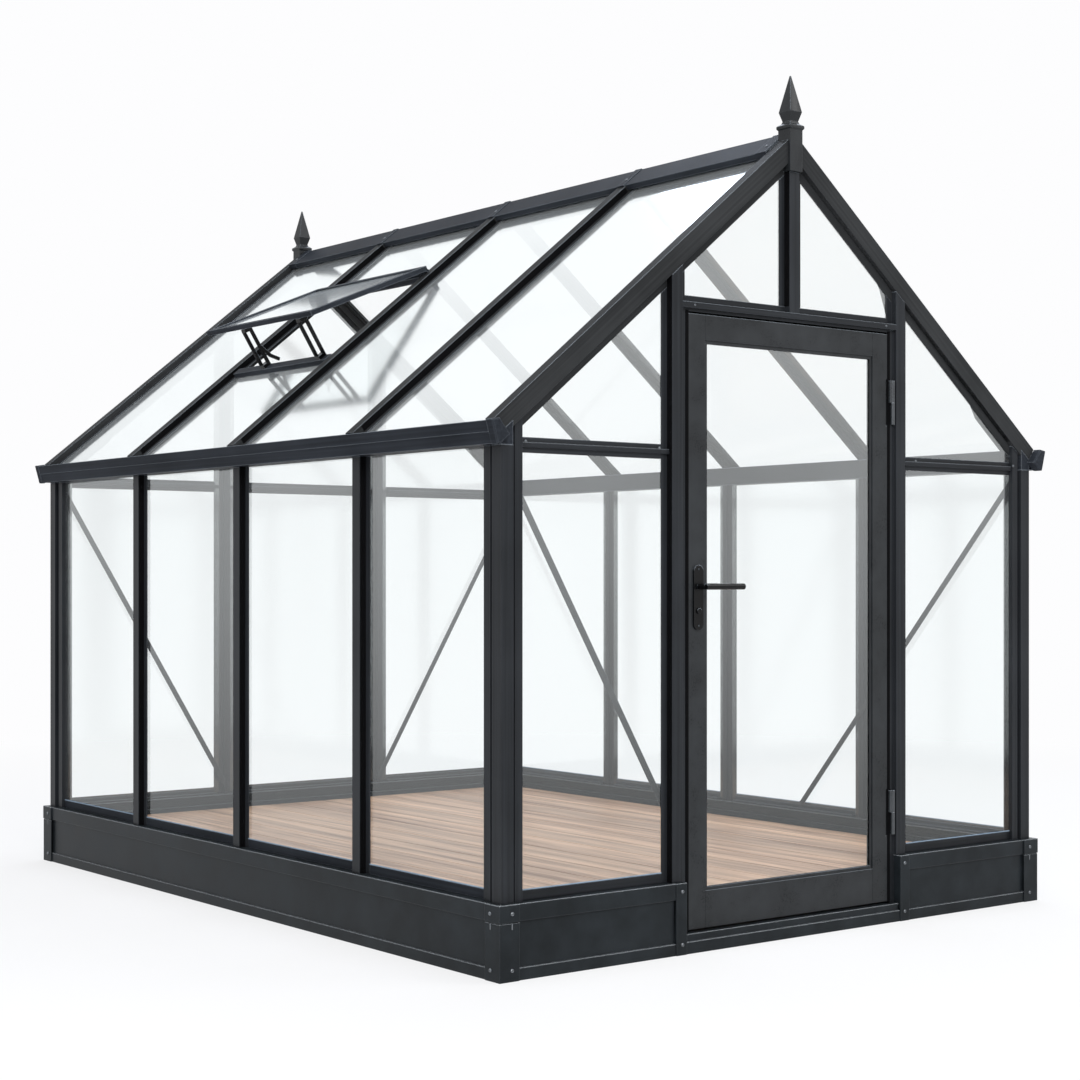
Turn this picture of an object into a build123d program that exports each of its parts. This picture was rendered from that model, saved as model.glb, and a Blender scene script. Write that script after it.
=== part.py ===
"""Glass greenhouse: powder-coated aluminium bars on a sheet plinth, a hinged door and an open roof vent.

Millimetres, +Z up, origin on the ground under the middle of the plinth. The door end faces -Y.
"""

import math
import os

from build123d import *

# ---- overall sizes ---------------------------------------------------------------------------
PLINTH_WIDTH = 2220.0  # outer faces of the corner angles, along X
PLINTH_LENGTH = 2900.0  # outer faces of the corner angles, along Y
PLINTH_HEIGHT = 205.0
POST_INSET = 18.0  # wall plane behind the plinth face
EAVE_HEIGHT = 1428.0  # top of the posts, underside of the gutter beam
ROOF_PITCH = 39.0  # degrees
SIDE_BAYS = 4
BACK_BAYS = 3

# ---- bars and glass --------------------------------------------------------------------------
GLASS = 4.0
FIT = 0.3  # clearance between a pane and what holds it
CAP_WIDTH = 40.0  # raised cap of a bar
CAP_DEPTH = 20.0
FLANGE = 3.0
BAR_WIDTH = 90.0  # over both outer flanges
BAR_DEPTH = 42.0
POST_LIP = 35.0  # lip beside a corner post in a gable, from the post's face
LIP_GAP = 9.0  # between the post and the raised part of its lip
SIDE_LIP = 46.0  # the same in a long wall
SIDE_LIP_GAP = 16.0
LIP_SETBACK = 7.0  # front of the lip behind the post's face
LIP_WALL = 2.0
WEB_WIDTH = 16.0
INNER_FLANGE_WIDTH = 48.0
CHAMBER_WALL = 2.5
GLASS_BITE = 11.0  # from the middle of a bar to the edge of the pane

# ---- plinth and floor ------------------------------------------------------------------------
SHEET = 3.0
COLLAR_HEIGHT = 47.0
LIP_HEIGHT = 34.0
WEB_SETBACK = 6.0
PLINTH_DEPTH = 66.0
ANGLE_WIDTH = 42.0
COLLAR_LINE = 2.0  # height of the groove under a corner collar
COLLAR_LINE_DEPTH = 1.0
THRESHOLD_HEIGHT = 56.0
THRESHOLD_STEP = 35.0
FLOOR_HEIGHT = 150.0
BOARD_WIDTH = 145.0
BOARD_GAP = 5.0
BOARD_THICKNESS = 28.0
JOIST_WIDTH = 45.0
JOISTS = 5
FLOOR_MARGIN = 6.0  # between the floor and the plinth

# ---- gutter, ridge, gables -------------------------------------------------------------------
GUTTER_REACH = 49.0  # beyond the wall plane
GUTTER_LEAN = 18.0
GUTTER_HEIGHT = 62.0
GUTTER_SHEET = 2.5
GUTTER_LIP = 10.0
GUTTER_STEP = 2.5  # outward step of the gutter's face
GUTTER_STEP_HEIGHT = 31.0
GUTTER_OVERHANG = 30.0
BEAM_WIDTH = 40.0
BEAM_HEIGHT = 33.7  # of the eave beam at the wall plane
BEAM_BOLT = 10.0  # hole from the eave beam into a corner post
RAFTER_FACE = 56.0
RIDGE_REACH = 80.0  # where the roof bars butt on the ridge beam
RIDGE_CAP_REACH = 95.0
RIDGE_CAP_SHEET = 4.0
ROOF_OVERHANG = 24.0  # lower ends of the roof bars beyond the wall plane
SILL_HEIGHT = 28.0
TRANSOM_LIFT = 24.0  # top of a transom above the eave
TRANSOM_FACE = 42.0
FINIAL_BLOCK = 52.0
FINIAL_HEIGHT = 175.0  # tip above the ridge
FINIAL_DROP = 115.0
FINIAL_OUT = 8.0
FINIAL_PROFILE = (  # height above the ridge, then half width
    (10.5, 26.0),
    (14.0, 30.0),
    (22.75, 30.0),
    (29.75, 20.0),
    (36.75, 17.0),
    (64.75, 25.0),
    (FINIAL_HEIGHT, 2.0),
)

EDGE = 3.0  # from a corner post to the edge of the pane
SILL_SEAT = 8.0
SILL_DROP = 6.0  # inner lip below the outer one
TRANSOM_RIB = 14.0
TRANSOM_RISE = 8.0
RIDGE_SLOT = 18.0
RIDGE_ROOT = 30.0
RIDGE_BEAM_HEIGHT = 92.0
RIDGE_CAP_LIP = 16.0
RIDGE_NOTCH = 1.0
END_CAP_LAP = 2.0
END_CAP_BEVEL = 4.0
END_CAP_SOLE = 10.0  # least width of the lower edge of an end cap
ROOF_GLASS_OVER = 3.0

# ---- door ------------------------------------------------------------------------------------
JAMB_CENTRE = 466.0
SURROUND_WIDTH = 19.0  # strip beside the leaf, on the jambs
SURROUND_DROP = 8.5  # strip over the leaf, under the header
DOOR_GAP = 5.5  # round the leaf
DOOR_SILL_GAP = 7.0
DOOR_THICKNESS = 20.0
DOOR_RECESS = 11.0  # leaf's front behind the wall plane
BEAD_WIDTH = 10.0
BEAD_DEPTH = 4.0
JOINT = 1.0  # line between a stile and a rail
STILE = 81.5
TOP_RAIL = 83.0
BOTTOM_RAIL = 117.0
HEADER_BOTTOM = 1845.0
HEADER_FACE = 18.0
HEADER_FLANGE = 20.0
HINGE_FROM_JAMB = 12.0
HINGE_STAND = 1.0  # knuckles in front of the surround
HINGE_RADIUS = 6.0
HINGE_PIN = 3.0
HINGE_RUN = 0.08
HINGE_LENGTH = 137.0
HINGE_BOTTOMS = (271.0, 1549.0)
HINGE_PLATE = 2.5
HINGE_EDGE = 16.0  # width of the plate on the leaf's edge
HINGE_REBATE = 12.0
HINGE_REBATE_DEPTH = 5.0
HINGE_REBATE_OVER = 4.0
KNUCKLE_GAP = 0.6
HANDLE_Z = 1047.0
PLATE_WIDTH = 36.0
PLATE_HEIGHT = 187.0
PLATE_THICKNESS = 6.0
PLATE_ABOVE = 62.0
PLATE_ROUND = 17.5
KEY_RADIUS = 8.5
KEY_DROP = 70.0  # key cylinder below the spindle
KEY_OUT = 4.0
LEVER_RADIUS = 9.0
NECK_RADIUS = 8.0
LEVER_LENGTH = 148.0
LEVER_OUT = 46.0
SPINDLE = 8.0
SPINDLE_BORE = 6.6
NECK_GAP = 1.0

# ---- vent ------------------------------------------------------------------------------------
VENT_BAY = 2  # counted from the door end, from 0
VENT_HEAD = 437.0  # distance down the slope to the hinge line
VENT_FOOT = 928.0
VENT_ANGLE = 16.5
CURB_FACE = 34.0
SASH_FACE = 20.0
SASH_DEPTH = 18.0
SASH_LIFT = 6.0  # hinge line above the outer plane, and radius of the hinge bead
SASH_OVER = 12.0
SASH_BITE = 8.0
CURB_TOP = 4.0
CURB_WEB = 16.0
OPENERS = (0.1355, -0.3813)  # from the middle of the bay, as shares of its width
OPENER_WIDTH = 24.0
OPENER_BRACKET = 13.0
OPENER_PIVOTS = 10.0  # half the distance between the two arms' pivots
ARM_WIDTH = 12.0
ARM_THICKNESS = 7.0
LEVER_BEND = ((44.0, -30.0), (80.0, -40.0))  # bent lever, from the middle of the arms
STEM_DEPTH = 48.0  # below the outer plane, of the stems under the foot curb
STEM_WIDTH = 10.0
STEM_FOOT = 34.0
STEM_FOOT_THICKNESS = 6.0
CYLINDER_RADIUS = 13.0
CYLINDER_LENGTH = 60.0
CYLINDER_ROD = 6.5
CYLINDER_TIP = 24.0
CYLINDER_POINT = 2.0
CYLINDER_LAP = 4.0

# ---- braces ----------------------------------------------------------------------------------
BRACE_WIDTH = 20.0
BRACE_THICKNESS = 4.0
BRACE_TOP = 40.0
BRACE_LOW = 24.0
BRACE_CORNER = 40.0
BRACE_TAIL = 4.0  # end of a brace beyond the middle of its bar
FRONT_BRACE_FOOT = 385.0
SIDE_BRACE_BAYS = 1.42
GUSSET_DEPTH = 32.0  # upper edge of a gusset behind the outer roof plane
GUSSET_HANG = 25.0  # below the rafter
GUSSET_RUN = 214.0
GUSSET_KNEE = 40.0
GUSSET_JAMB_RUN = 66.0
GUSSET_JAMB_DROP = 61.0
GUSSET_TOE = 17.0

# ---- derived ---------------------------------------------------------------------------------

WALL_X = PLINTH_WIDTH / 2 - POST_INSET
WALL_Y = PLINTH_LENGTH / 2 - POST_INSET
PITCH = math.radians(ROOF_PITCH)
BAY = 2 * WALL_Y / SIDE_BAYS
BACK_BAY = 2 * WALL_X / BACK_BAYS
GLASS_OUT = CAP_DEPTH + FLANGE + FIT
GLASS_IN = GLASS_OUT + GLASS
INNER_FLANGE = GLASS_IN + FIT
SHOULDER = (BAR_WIDTH - CAP_WIDTH) / 2
POST_SIZE = BAR_DEPTH
TRANSOM_TOP = EAVE_HEIGHT + TRANSOM_LIFT
ROOF_EDGE = WALL_X + ROOF_OVERHANG
# Where the two outer roof planes meet.
RIDGE_HEIGHT = EAVE_HEIGHT + BEAM_HEIGHT + BAR_DEPTH / math.cos(PITCH) + WALL_X * math.tan(PITCH)
JAMB_FACE = JAMB_CENTRE - CAP_WIDTH / 2
SURROUND = JAMB_FACE - SURROUND_WIDTH
DOOR_HALF = SURROUND - DOOR_GAP
DOOR_TOP = HEADER_BOTTOM - SURROUND_DROP - DOOR_GAP
DOOR_BOTTOM = THRESHOLD_HEIGHT + DOOR_SILL_GAP
DOOR_FRONT = -WALL_Y + DOOR_RECESS
DOOR_BACK = DOOR_FRONT + DOOR_THICKNESS
HINGE_AXIS_X = JAMB_FACE - HINGE_FROM_JAMB
HINGE_AXIS_Y = DOOR_FRONT - HINGE_STAND - HINGE_RADIUS
HANDLE_X = STILE / 2 - DOOR_HALF
OVERRUN = 1.0  # a cut past the face it opens


def polygon(points):
    """Face on the XY plane through the given points."""
    return make_face(Polyline(*points, close=True))


def block(x0, x1, y0, y1, z0, z1):
    """Axis-aligned box between two corners."""
    return Pos((x0 + x1) / 2, (y0 + y1) / 2, (z0 + z1) / 2) * Box(abs(x1 - x0), abs(y1 - y0), abs(z1 - z0))


def prism(points, plane, length):
    """Polygon drawn on a plane and extruded along its normal."""
    return extrude(plane * polygon(points), amount=length)


def save(name, *solids):
    """Write the solids of one node."""
    export_step(Compound(children=list(solids)) if len(solids) > 1 else solids[0], f"parts/{name}.step")


def mirrored(points):
    """Half outline at positive first coordinate, completed by its mirror image."""
    return points + [(-a, d) for a, d in reversed(points)]


# ---- sections --------------------------------------------------------------------------------
def bar_section():
    """Glazing bar: across the bar, then depth behind the outer plane."""
    half_cap = CAP_WIDTH / 2
    half_web = WEB_WIDTH / 2
    half_inner = INNER_FLANGE_WIDTH / 2
    outline = [
        (half_cap, 0),
        (half_cap, CAP_DEPTH),
        (BAR_WIDTH / 2, CAP_DEPTH),
        (BAR_WIDTH / 2, CAP_DEPTH + FLANGE),
        (half_web, CAP_DEPTH + FLANGE),
        (half_web, INNER_FLANGE),
        (half_inner, INNER_FLANGE),
        (half_inner, INNER_FLANGE + FLANGE),
        (half_web, INNER_FLANGE + FLANGE),
        (half_web, BAR_DEPTH),
    ]
    wall = CHAMBER_WALL
    chamber = [(half_cap - wall, wall), (half_cap - wall, CAP_DEPTH)]
    channel = [(half_web - wall, CAP_DEPTH + FLANGE), (half_web - wall, BAR_DEPTH - wall)]
    return polygon(mirrored(outline)) - polygon(mirrored(chamber)) - polygon(mirrored(channel))


def post_section():
    """Corner post: both coordinates are measured inwards from the outer corner."""
    cap = POST_SIZE
    reach = (INNER_FLANGE_WIDTH - WEB_WIDTH) / 2
    body = Pos(cap / 2, cap / 2) * Rectangle(cap, cap)
    chamber = Pos(cap / 2, cap / 2) * Rectangle(cap - 2 * CHAMBER_WALL, cap - 2 * CHAMBER_WALL)
    along = (cap, cap + reach)
    depth = (INNER_FLANGE, INNER_FLANGE + FLANGE)
    return body - chamber + [post_lip(False), post_lip(True), oblong(along, depth), oblong(depth, along)]


def oblong(x, y):
    """Rectangle over a span of each coordinate."""
    return Pos(sum(x) / 2, sum(y) / 2) * Rectangle(x[1] - x[0], y[1] - y[0])


def post_lip(turn):
    """Lip of a corner post, a flange with a hollow raised strip: on the gable face, or turned aside."""
    gap, width = (SIDE_LIP_GAP, SIDE_LIP) if turn else (LIP_GAP, POST_LIP)
    strip = (POST_SIZE + gap, POST_SIZE + width)
    spans = [
        ((POST_SIZE, strip[1]), (CAP_DEPTH, CAP_DEPTH + FLANGE)),
        (strip, (LIP_SETBACK, CAP_DEPTH)),
        ((strip[0] + LIP_WALL, strip[1] - LIP_WALL), (LIP_SETBACK + LIP_WALL, CAP_DEPTH - LIP_WALL)),
    ]
    flange, body, hollow = [oblong(*(reversed(span) if turn else span)) for span in spans]
    return flange + body - hollow


def upright(section_plane, height):
    """Bar section stood up by its plane."""
    return extrude(section_plane * bar_section(), amount=height)


def side_bar_plane(side, y, z):
    """Plane for an upright in a long wall: side is -1 (left) or 1 (right)."""
    return Plane(origin=(side * WALL_X, y, z), x_dir=(0, side, 0), z_dir=(0, 0, 1))


def gable_bar_plane(end, x, z):
    """Plane for an upright in a gable wall: end is -1 (front) or 1 (back)."""
    return Plane(origin=(x, end * WALL_Y, z), x_dir=(-end, 0, 0), z_dir=(0, 0, 1))


def slope_plane(side, y, reach):
    """Plane across a roof bar at a distance down the slope, its normal pointing down the slope."""
    down = (side * math.cos(PITCH), 0, -math.sin(PITCH))
    origin = (down[0] * reach, y, RIDGE_HEIGHT + down[2] * reach)
    return Plane(origin=origin, x_dir=(0, -side, 0), z_dir=down)


def slope_point(side, reach, depth):
    """X and Z of a point down the slope and behind the outer roof plane."""
    x = side * (reach * math.cos(PITCH) - depth * math.sin(PITCH))
    z = RIDGE_HEIGHT - reach * math.sin(PITCH) - depth * math.cos(PITCH)
    return x, z


def roof_z(x, depth):
    """Height of the roof at x, at a depth behind its outer plane."""
    return RIDGE_HEIGHT - abs(x) * math.tan(PITCH) - depth / math.cos(PITCH)


def across(points, y0, y1):
    """Outline in X and Z, extruded along Y."""
    plane = Plane(origin=(0, y1, 0), x_dir=(1, 0, 0), z_dir=(0, -1, 0))
    return extrude(plane * polygon(points), amount=y1 - y0)


def folded(points, thickness):
    """Closed outline of a sheet bent along the points and thickened to one side."""
    normals = []
    for (x0, y0), (x1, y1) in zip(points, points[1:]):
        size = math.hypot(x1 - x0, y1 - y0)
        normals.append(((y0 - y1) / size, (x1 - x0) / size))
    shifted = []
    for i, (x, y) in enumerate(points):
        ax, ay = normals[max(i - 1, 0)]
        bx, by = normals[min(i, len(normals) - 1)]
        scale = thickness / (1 + ax * bx + ay * by)
        shifted.append((x + (ax + bx) * scale, y + (ay + by) * scale))
    return points + shifted[::-1]


# ---- plinth ----------------------------------------------------------------------------------
def plinth_outline():
    """Rail section: distance in from the rail's outer face, then height."""
    depth = PLINTH_DEPTH
    collar = PLINTH_HEIGHT - COLLAR_HEIGHT
    path = [
        (depth, 0),
        (0, 0),
        (0, LIP_HEIGHT),
        (WEB_SETBACK, LIP_HEIGHT),
        (WEB_SETBACK, collar),
        (0, collar),
        (0, PLINTH_HEIGHT),
        (depth, PLINTH_HEIGHT),
    ]
    return folded(path, -SHEET)


def rail(face, half_length, mitres):
    """Plinth rail along Y with its outer face at x = face, mitred where the two flags say so."""
    sign = 1 if face > 0 else -1
    outline = [(face - sign * d, z) for d, z in plinth_outline()]
    body = across(outline, -half_length, half_length)
    for end, mitred in zip((-1, 1), mitres):
        if mitred:
            inner = face - sign * PLINTH_DEPTH
            corner = [
                (face, end * half_length),
                (inner, end * (half_length - PLINTH_DEPTH)),
                (inner, end * (half_length + OVERRUN)),
                (face, end * (half_length + OVERRUN)),
            ]
            body -= Pos(0, 0, -OVERRUN) * extrude(polygon(corner), amount=PLINTH_HEIGHT + 2 * OVERRUN)
    return body


def make_plinth():
    """Four sides of folded sheet, corner angles, door posts, threshold."""
    half_x = PLINTH_WIDTH / 2 - SHEET
    half_y = PLINTH_LENGTH / 2 - SHEET
    save("plinth_left", rail(-half_x, half_y, (True, True)))
    save("plinth_right", rail(half_x, half_y, (True, True)))
    save("plinth_back", Rot(0, 0, 90) * rail(half_y, half_x, (True, True)))
    inner = JAMB_CENTRE + CAP_WIDTH / 2
    front = Rot(0, 0, -90) * rail(half_y, half_x, (True, True))
    opening = block(-inner, inner, -half_y - OVERRUN, 0, -OVERRUN, PLINTH_HEIGHT + OVERRUN)
    save("plinth_front", *(front - opening).solids())
    angles = []
    for sx in (-1, 1):
        for sy in (-1, 1):
            x = sx * PLINTH_WIDTH / 2
            y = sy * PLINTH_LENGTH / 2
            far_x = x - sx * ANGLE_WIDTH
            far_y = y - sy * ANGLE_WIDTH
            outer = block(x, far_x, y, far_y, 0, PLINTH_HEIGHT)
            hollow = block(x - sx * SHEET, far_x, y - sy * SHEET, far_y, 0, PLINTH_HEIGHT)
            deep = COLLAR_LINE_DEPTH
            line_top = PLINTH_HEIGHT - COLLAR_HEIGHT
            line = block(x, far_x, y, far_y, line_top - COLLAR_LINE, line_top)
            core = block(x - sx * deep, far_x, y - sy * deep, far_y, 0, PLINTH_HEIGHT)
            angles.append(outer - hollow - (line - core))
    save("plinth_corners", *angles)
    posts = []
    for side in (-1, 1):
        x0 = side * JAMB_FACE
        x1 = side * inner
        y0 = -PLINTH_LENGTH / 2
        outer = block(x0, x1, y0, y0 + PLINTH_DEPTH + SHEET, 0, PLINTH_HEIGHT)
        inset = side * SHEET
        hollow = block(x0 + inset, x1 - inset, y0 + SHEET, y0 + PLINTH_DEPTH, SHEET, PLINTH_HEIGHT - SHEET)
        posts.append(outer - hollow)
    save("plinth_door_posts", *posts)
    y0 = -PLINTH_LENGTH / 2 + SHEET
    path = [
        (y0 + PLINTH_DEPTH, 0),
        (y0, 0),
        (y0, THRESHOLD_STEP),
        (y0 + WEB_SETBACK, THRESHOLD_STEP),
        (y0 + WEB_SETBACK, THRESHOLD_HEIGHT),
        (y0 + PLINTH_DEPTH, THRESHOLD_HEIGHT),
    ]
    plane = Plane(origin=(-JAMB_FACE, 0, 0), x_dir=(0, 1, 0), z_dir=(1, 0, 0))
    save("threshold", prism(folded(path, -SHEET), plane, 2 * JAMB_FACE))


def make_floor():
    """Lengthwise boards on cross joists inside the plinth."""
    inner_x = PLINTH_WIDTH / 2 - SHEET - PLINTH_DEPTH - FLOOR_MARGIN
    inner_y = PLINTH_LENGTH / 2 - SHEET - PLINTH_DEPTH - FLOOR_MARGIN
    under = FLOOR_HEIGHT - BOARD_THICKNESS
    count = int((2 * inner_x + BOARD_GAP) // (BOARD_WIDTH + BOARD_GAP))
    pitch = BOARD_WIDTH + BOARD_GAP
    boards = []
    for i in range(count):
        x = (i - (count - 1) / 2) * pitch
        boards.append(block(x - BOARD_WIDTH / 2, x + BOARD_WIDTH / 2, -inner_y, inner_y, under, FLOOR_HEIGHT))
    save("floor_boards", *boards)
    half = PLINTH_WIDTH / 2 - SHEET - PLINTH_DEPTH - FIT
    joists = []
    for i in range(JOISTS):
        y = -inner_y + JOIST_WIDTH / 2 + i * (2 * inner_y - JOIST_WIDTH) / (JOISTS - 1)
        joists.append(block(-half, half, y - JOIST_WIDTH / 2, y + JOIST_WIDTH / 2, 0, under))
    save("floor_joists", *joists)


# ---- walls -----------------------------------------------------------------------------------
def make_posts():
    """Corner posts and the bars of the four walls."""
    height = EAVE_HEIGHT - PLINTH_HEIGHT
    posts = []
    for sx in (-1, 1):
        for sy in (-1, 1):
            plane = Plane(
                origin=(sx * WALL_X, sy * WALL_Y, PLINTH_HEIGHT),
                x_dir=(-sx, 0, 0),
                z_dir=(0, 0, sx * sy),
            )
            post = extrude(plane * post_section(), amount=sx * sy * height)
            lip = extrude(plane * post_lip(False), amount=sx * sy * (RIDGE_HEIGHT - PLINTH_HEIGHT))
            posts.append(post + under_rafters(lip, sy))
    save("corner_posts", *posts)
    bars = []
    for side in (-1, 1):
        for i in range(1, SIDE_BAYS):
            plane = side_bar_plane(side, -WALL_Y + i * BAY, PLINTH_HEIGHT)
            bars.append(upright(plane, height))
    save("side_bars", *bars)


def above_rafters(depth, y0, y1):
    """Everything above a line parallel to the roof, at a depth behind its outer plane."""
    low = roof_z(WALL_X, depth)
    outline = [(-WALL_X, low), (0, roof_z(0, depth)), (WALL_X, low), (WALL_X, 2 * low), (-WALL_X, 2 * low)]
    return across(outline, *sorted((y0, y1)))


def under_rafters(bar, end):
    """Upright cut to the rafters in its outer part and to the rafters' flanges behind."""
    step = end * (WALL_Y - CAP_DEPTH)
    bar -= above_rafters(RAFTER_FACE, end * WALL_Y, step)
    return bar - above_rafters(RAFTER_FACE + SHOULDER, step, 0)


def gable_bar(end, x, z0):
    """Upright in a gable, from z0 to the rafters."""
    bar = upright(gable_bar_plane(end, x, z0), RIDGE_HEIGHT - z0)
    return under_rafters(bar, end) - finial_space(end)


def cap_only(width):
    """Section of a bar's raised cap alone, open behind."""
    wall = CHAMBER_WALL
    chamber = Pos(0, (CAP_DEPTH + wall) / 2) * Rectangle(width - 2 * wall, CAP_DEPTH - wall)
    return Pos(0, CAP_DEPTH / 2) * Rectangle(width, CAP_DEPTH) - chamber


def header_section():
    """Bar over the door: height from the middle of its cap, then depth behind the wall plane."""
    cap = HEADER_FACE / 2
    web = WEB_WIDTH / 2
    drop = cap + SURROUND_DROP
    outline = [
        (-cap, 0),
        (cap, 0),
        (cap, CAP_DEPTH),
        (cap + HEADER_FLANGE, CAP_DEPTH),
        (cap + HEADER_FLANGE, CAP_DEPTH + FLANGE),
        (web, CAP_DEPTH + FLANGE),
        (web, INNER_FLANGE),
        (INNER_FLANGE_WIDTH / 2, INNER_FLANGE),
        (INNER_FLANGE_WIDTH / 2, INNER_FLANGE + FLANGE),
        (web, INNER_FLANGE + FLANGE),
        (web, BAR_DEPTH),
        (-web, BAR_DEPTH),
        (-web, CAP_DEPTH + FLANGE),
        (-drop, CAP_DEPTH + FLANGE),
        (-drop, DOOR_RECESS),
        (-cap, DOOR_RECESS),
    ]
    inside = cap - CHAMBER_WALL
    chamber = [(-inside, CHAMBER_WALL), (inside, CHAMBER_WALL), (inside, CAP_DEPTH), (-inside, CAP_DEPTH)]
    return polygon(outline) - polygon(chamber)


def make_header():
    """Bar between the jambs: its cap crosses their flanges, its lower strip meets theirs."""
    z = HEADER_BOTTOM + HEADER_FACE / 2
    half = JAMB_FACE - SHOULDER
    plane = Plane(origin=(half, -WALL_Y, z), x_dir=(0, 0, 1), z_dir=(-1, 0, 0))
    parts = [extrude(plane * header_section(), amount=2 * half)]
    y1 = -WALL_Y + CAP_DEPTH + FLANGE
    low = HEADER_BOTTOM - SURROUND_DROP
    for side in (-1, 1):
        x = max(side * half, side * JAMB_FACE)
        start = Plane(origin=(x, -WALL_Y, z), x_dir=(0, 0, 1), z_dir=(-1, 0, 0))
        parts.append(extrude(start * cap_only(HEADER_FACE), amount=SHOULDER))
        parts.append(block(side * half, side * SURROUND, DOOR_FRONT, y1, low, HEADER_BOTTOM))
    save("front_header", parts[0] + parts[1:])


def jamb(side):
    """Upright beside the door, its flange on the door's side widened into a strip round the leaf."""
    bar = gable_bar(-1, side * JAMB_CENTRE, PLINTH_HEIGHT)
    y1 = -WALL_Y + CAP_DEPTH + FLANGE
    bar -= block(0, side * SURROUND, -WALL_Y, 0, PLINTH_HEIGHT, HEADER_BOTTOM)
    return bar + block(side * SURROUND, side * JAMB_FACE, DOOR_FRONT, y1, THRESHOLD_HEIGHT, HEADER_BOTTOM)


def transom(end, x0, x1):
    """Slim bar at eave height between the flanges of two uprights; its rib crosses those of the bars."""
    z = TRANSOM_TOP - TRANSOM_FACE / 2
    half = TRANSOM_FACE / 2
    rib = TRANSOM_RIB / 2
    outline = [
        (rib, CAP_DEPTH - TRANSOM_RISE),
        (rib, CAP_DEPTH),
        (half, CAP_DEPTH),
        (half, CAP_DEPTH + FLANGE),
        (rib, CAP_DEPTH + FLANGE),
        (rib, INNER_FLANGE),
        (half, INNER_FLANGE),
        (half, INNER_FLANGE + FLANGE),
        (rib, INNER_FLANGE + FLANGE),
        (rib, BAR_DEPTH),
    ]
    plane = Plane(origin=(x0, end * WALL_Y, z), x_dir=(0, 0, end), z_dir=(1, 0, 0))
    middle = extrude(plane * polygon(mirrored(outline)), amount=x1 - x0)
    y0 = end * (WALL_Y - CAP_DEPTH)
    y1 = end * (WALL_Y - CAP_DEPTH + TRANSOM_RISE)
    beside_bars = WALL_X - POST_SIZE - POST_LIP - FIT
    left = x0 - SHOULDER if x0 > -beside_bars else x0
    right = x1 + SHOULDER if x1 < beside_bars else x1
    return middle + block(left, right, y0, y1, z - rib, z + rib)


def sill_outline():
    """Section of a sill: depth behind the wall plane, then height above the plinth."""
    return [
        (CAP_DEPTH, 0),
        (BAR_DEPTH, 0),
        (BAR_DEPTH, SILL_SEAT),
        (INNER_FLANGE + FLANGE, SILL_SEAT),
        (INNER_FLANGE + FLANGE, SILL_HEIGHT - SILL_DROP),
        (INNER_FLANGE, SILL_HEIGHT - SILL_DROP),
        (INNER_FLANGE, SILL_SEAT),
        (CAP_DEPTH + FLANGE, SILL_SEAT),
        (CAP_DEPTH + FLANGE, SILL_HEIGHT),
        (CAP_DEPTH, SILL_HEIGHT),
    ]


def side_edges(glass):
    """Y limits of each side bay, for panes (glass true) or for what lies between the outer flanges."""
    corner = POST_SIZE + (EDGE if glass else SIDE_LIP)
    bar = GLASS_BITE if glass else BAR_WIDTH / 2
    edges = []
    for i in range(SIDE_BAYS):
        y0 = -WALL_Y + i * BAY + (corner if i == 0 else bar)
        y1 = -WALL_Y + (i + 1) * BAY - (corner if i == SIDE_BAYS - 1 else bar)
        edges.append((y0, y1))
    return edges


def gable_edges(bars, glass):
    """X limits of the panels between the corner posts and the given bar centres."""
    corner = POST_SIZE + (EDGE if glass else POST_LIP)
    bar = GLASS_BITE if glass else BAR_WIDTH / 2
    starts = [-WALL_X + corner] + [x + bar for x in bars]
    stops = [x - bar for x in bars] + [WALL_X - corner]
    return list(zip(starts, stops))


def make_sills():
    """Sills between the uprights, on top of the plinth."""
    solids = []
    for side in (-1, 1):
        for y0, y1 in side_edges(False):
            outline = [(side * (WALL_X - d), PLINTH_HEIGHT + z) for d, z in sill_outline()]
            solids.append(across(outline, y0, y1))
    save("side_sills", *solids)
    back = gable_edges([-BACK_BAY / 2, BACK_BAY / 2], False)
    front = gable_edges([-JAMB_CENTRE, JAMB_CENTRE], False)
    solids = []
    for end, spans in ((1, back), (-1, [front[0], front[2]])):
        for x0, x1 in spans:
            outline = [(end * (WALL_Y - d), PLINTH_HEIGHT + z) for d, z in sill_outline()]
            plane = Plane(origin=(x0, 0, 0), x_dir=(0, 1, 0), z_dir=(1, 0, 0))
            solids.append(prism(outline, plane, x1 - x0))
    save("gable_sills", *solids)


def make_gables():
    """Jambs, transoms, back bars, apex bar."""
    back = [-BACK_BAY / 2, BACK_BAY / 2]
    save("front_jambs", *[jamb(side) for side in (-1, 1)])
    save("back_bars", *[gable_bar(1, x, PLINTH_HEIGHT) for x in back])
    front_spans = gable_edges([-JAMB_CENTRE, JAMB_CENTRE], False)
    bars = [transom(-1, *front_spans[0]), transom(-1, *front_spans[2])]
    save("gable_transoms", *bars, *[transom(1, *span) for span in gable_edges(back, False)])
    foot = HEADER_BOTTOM + HEADER_FACE
    bar = gable_bar(-1, 0, foot + HEADER_FLANGE)
    plane = gable_bar_plane(-1, 0, foot)
    save("front_apex_bar", bar + extrude(plane * cap_only(CAP_WIDTH), amount=HEADER_FLANGE))


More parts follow.
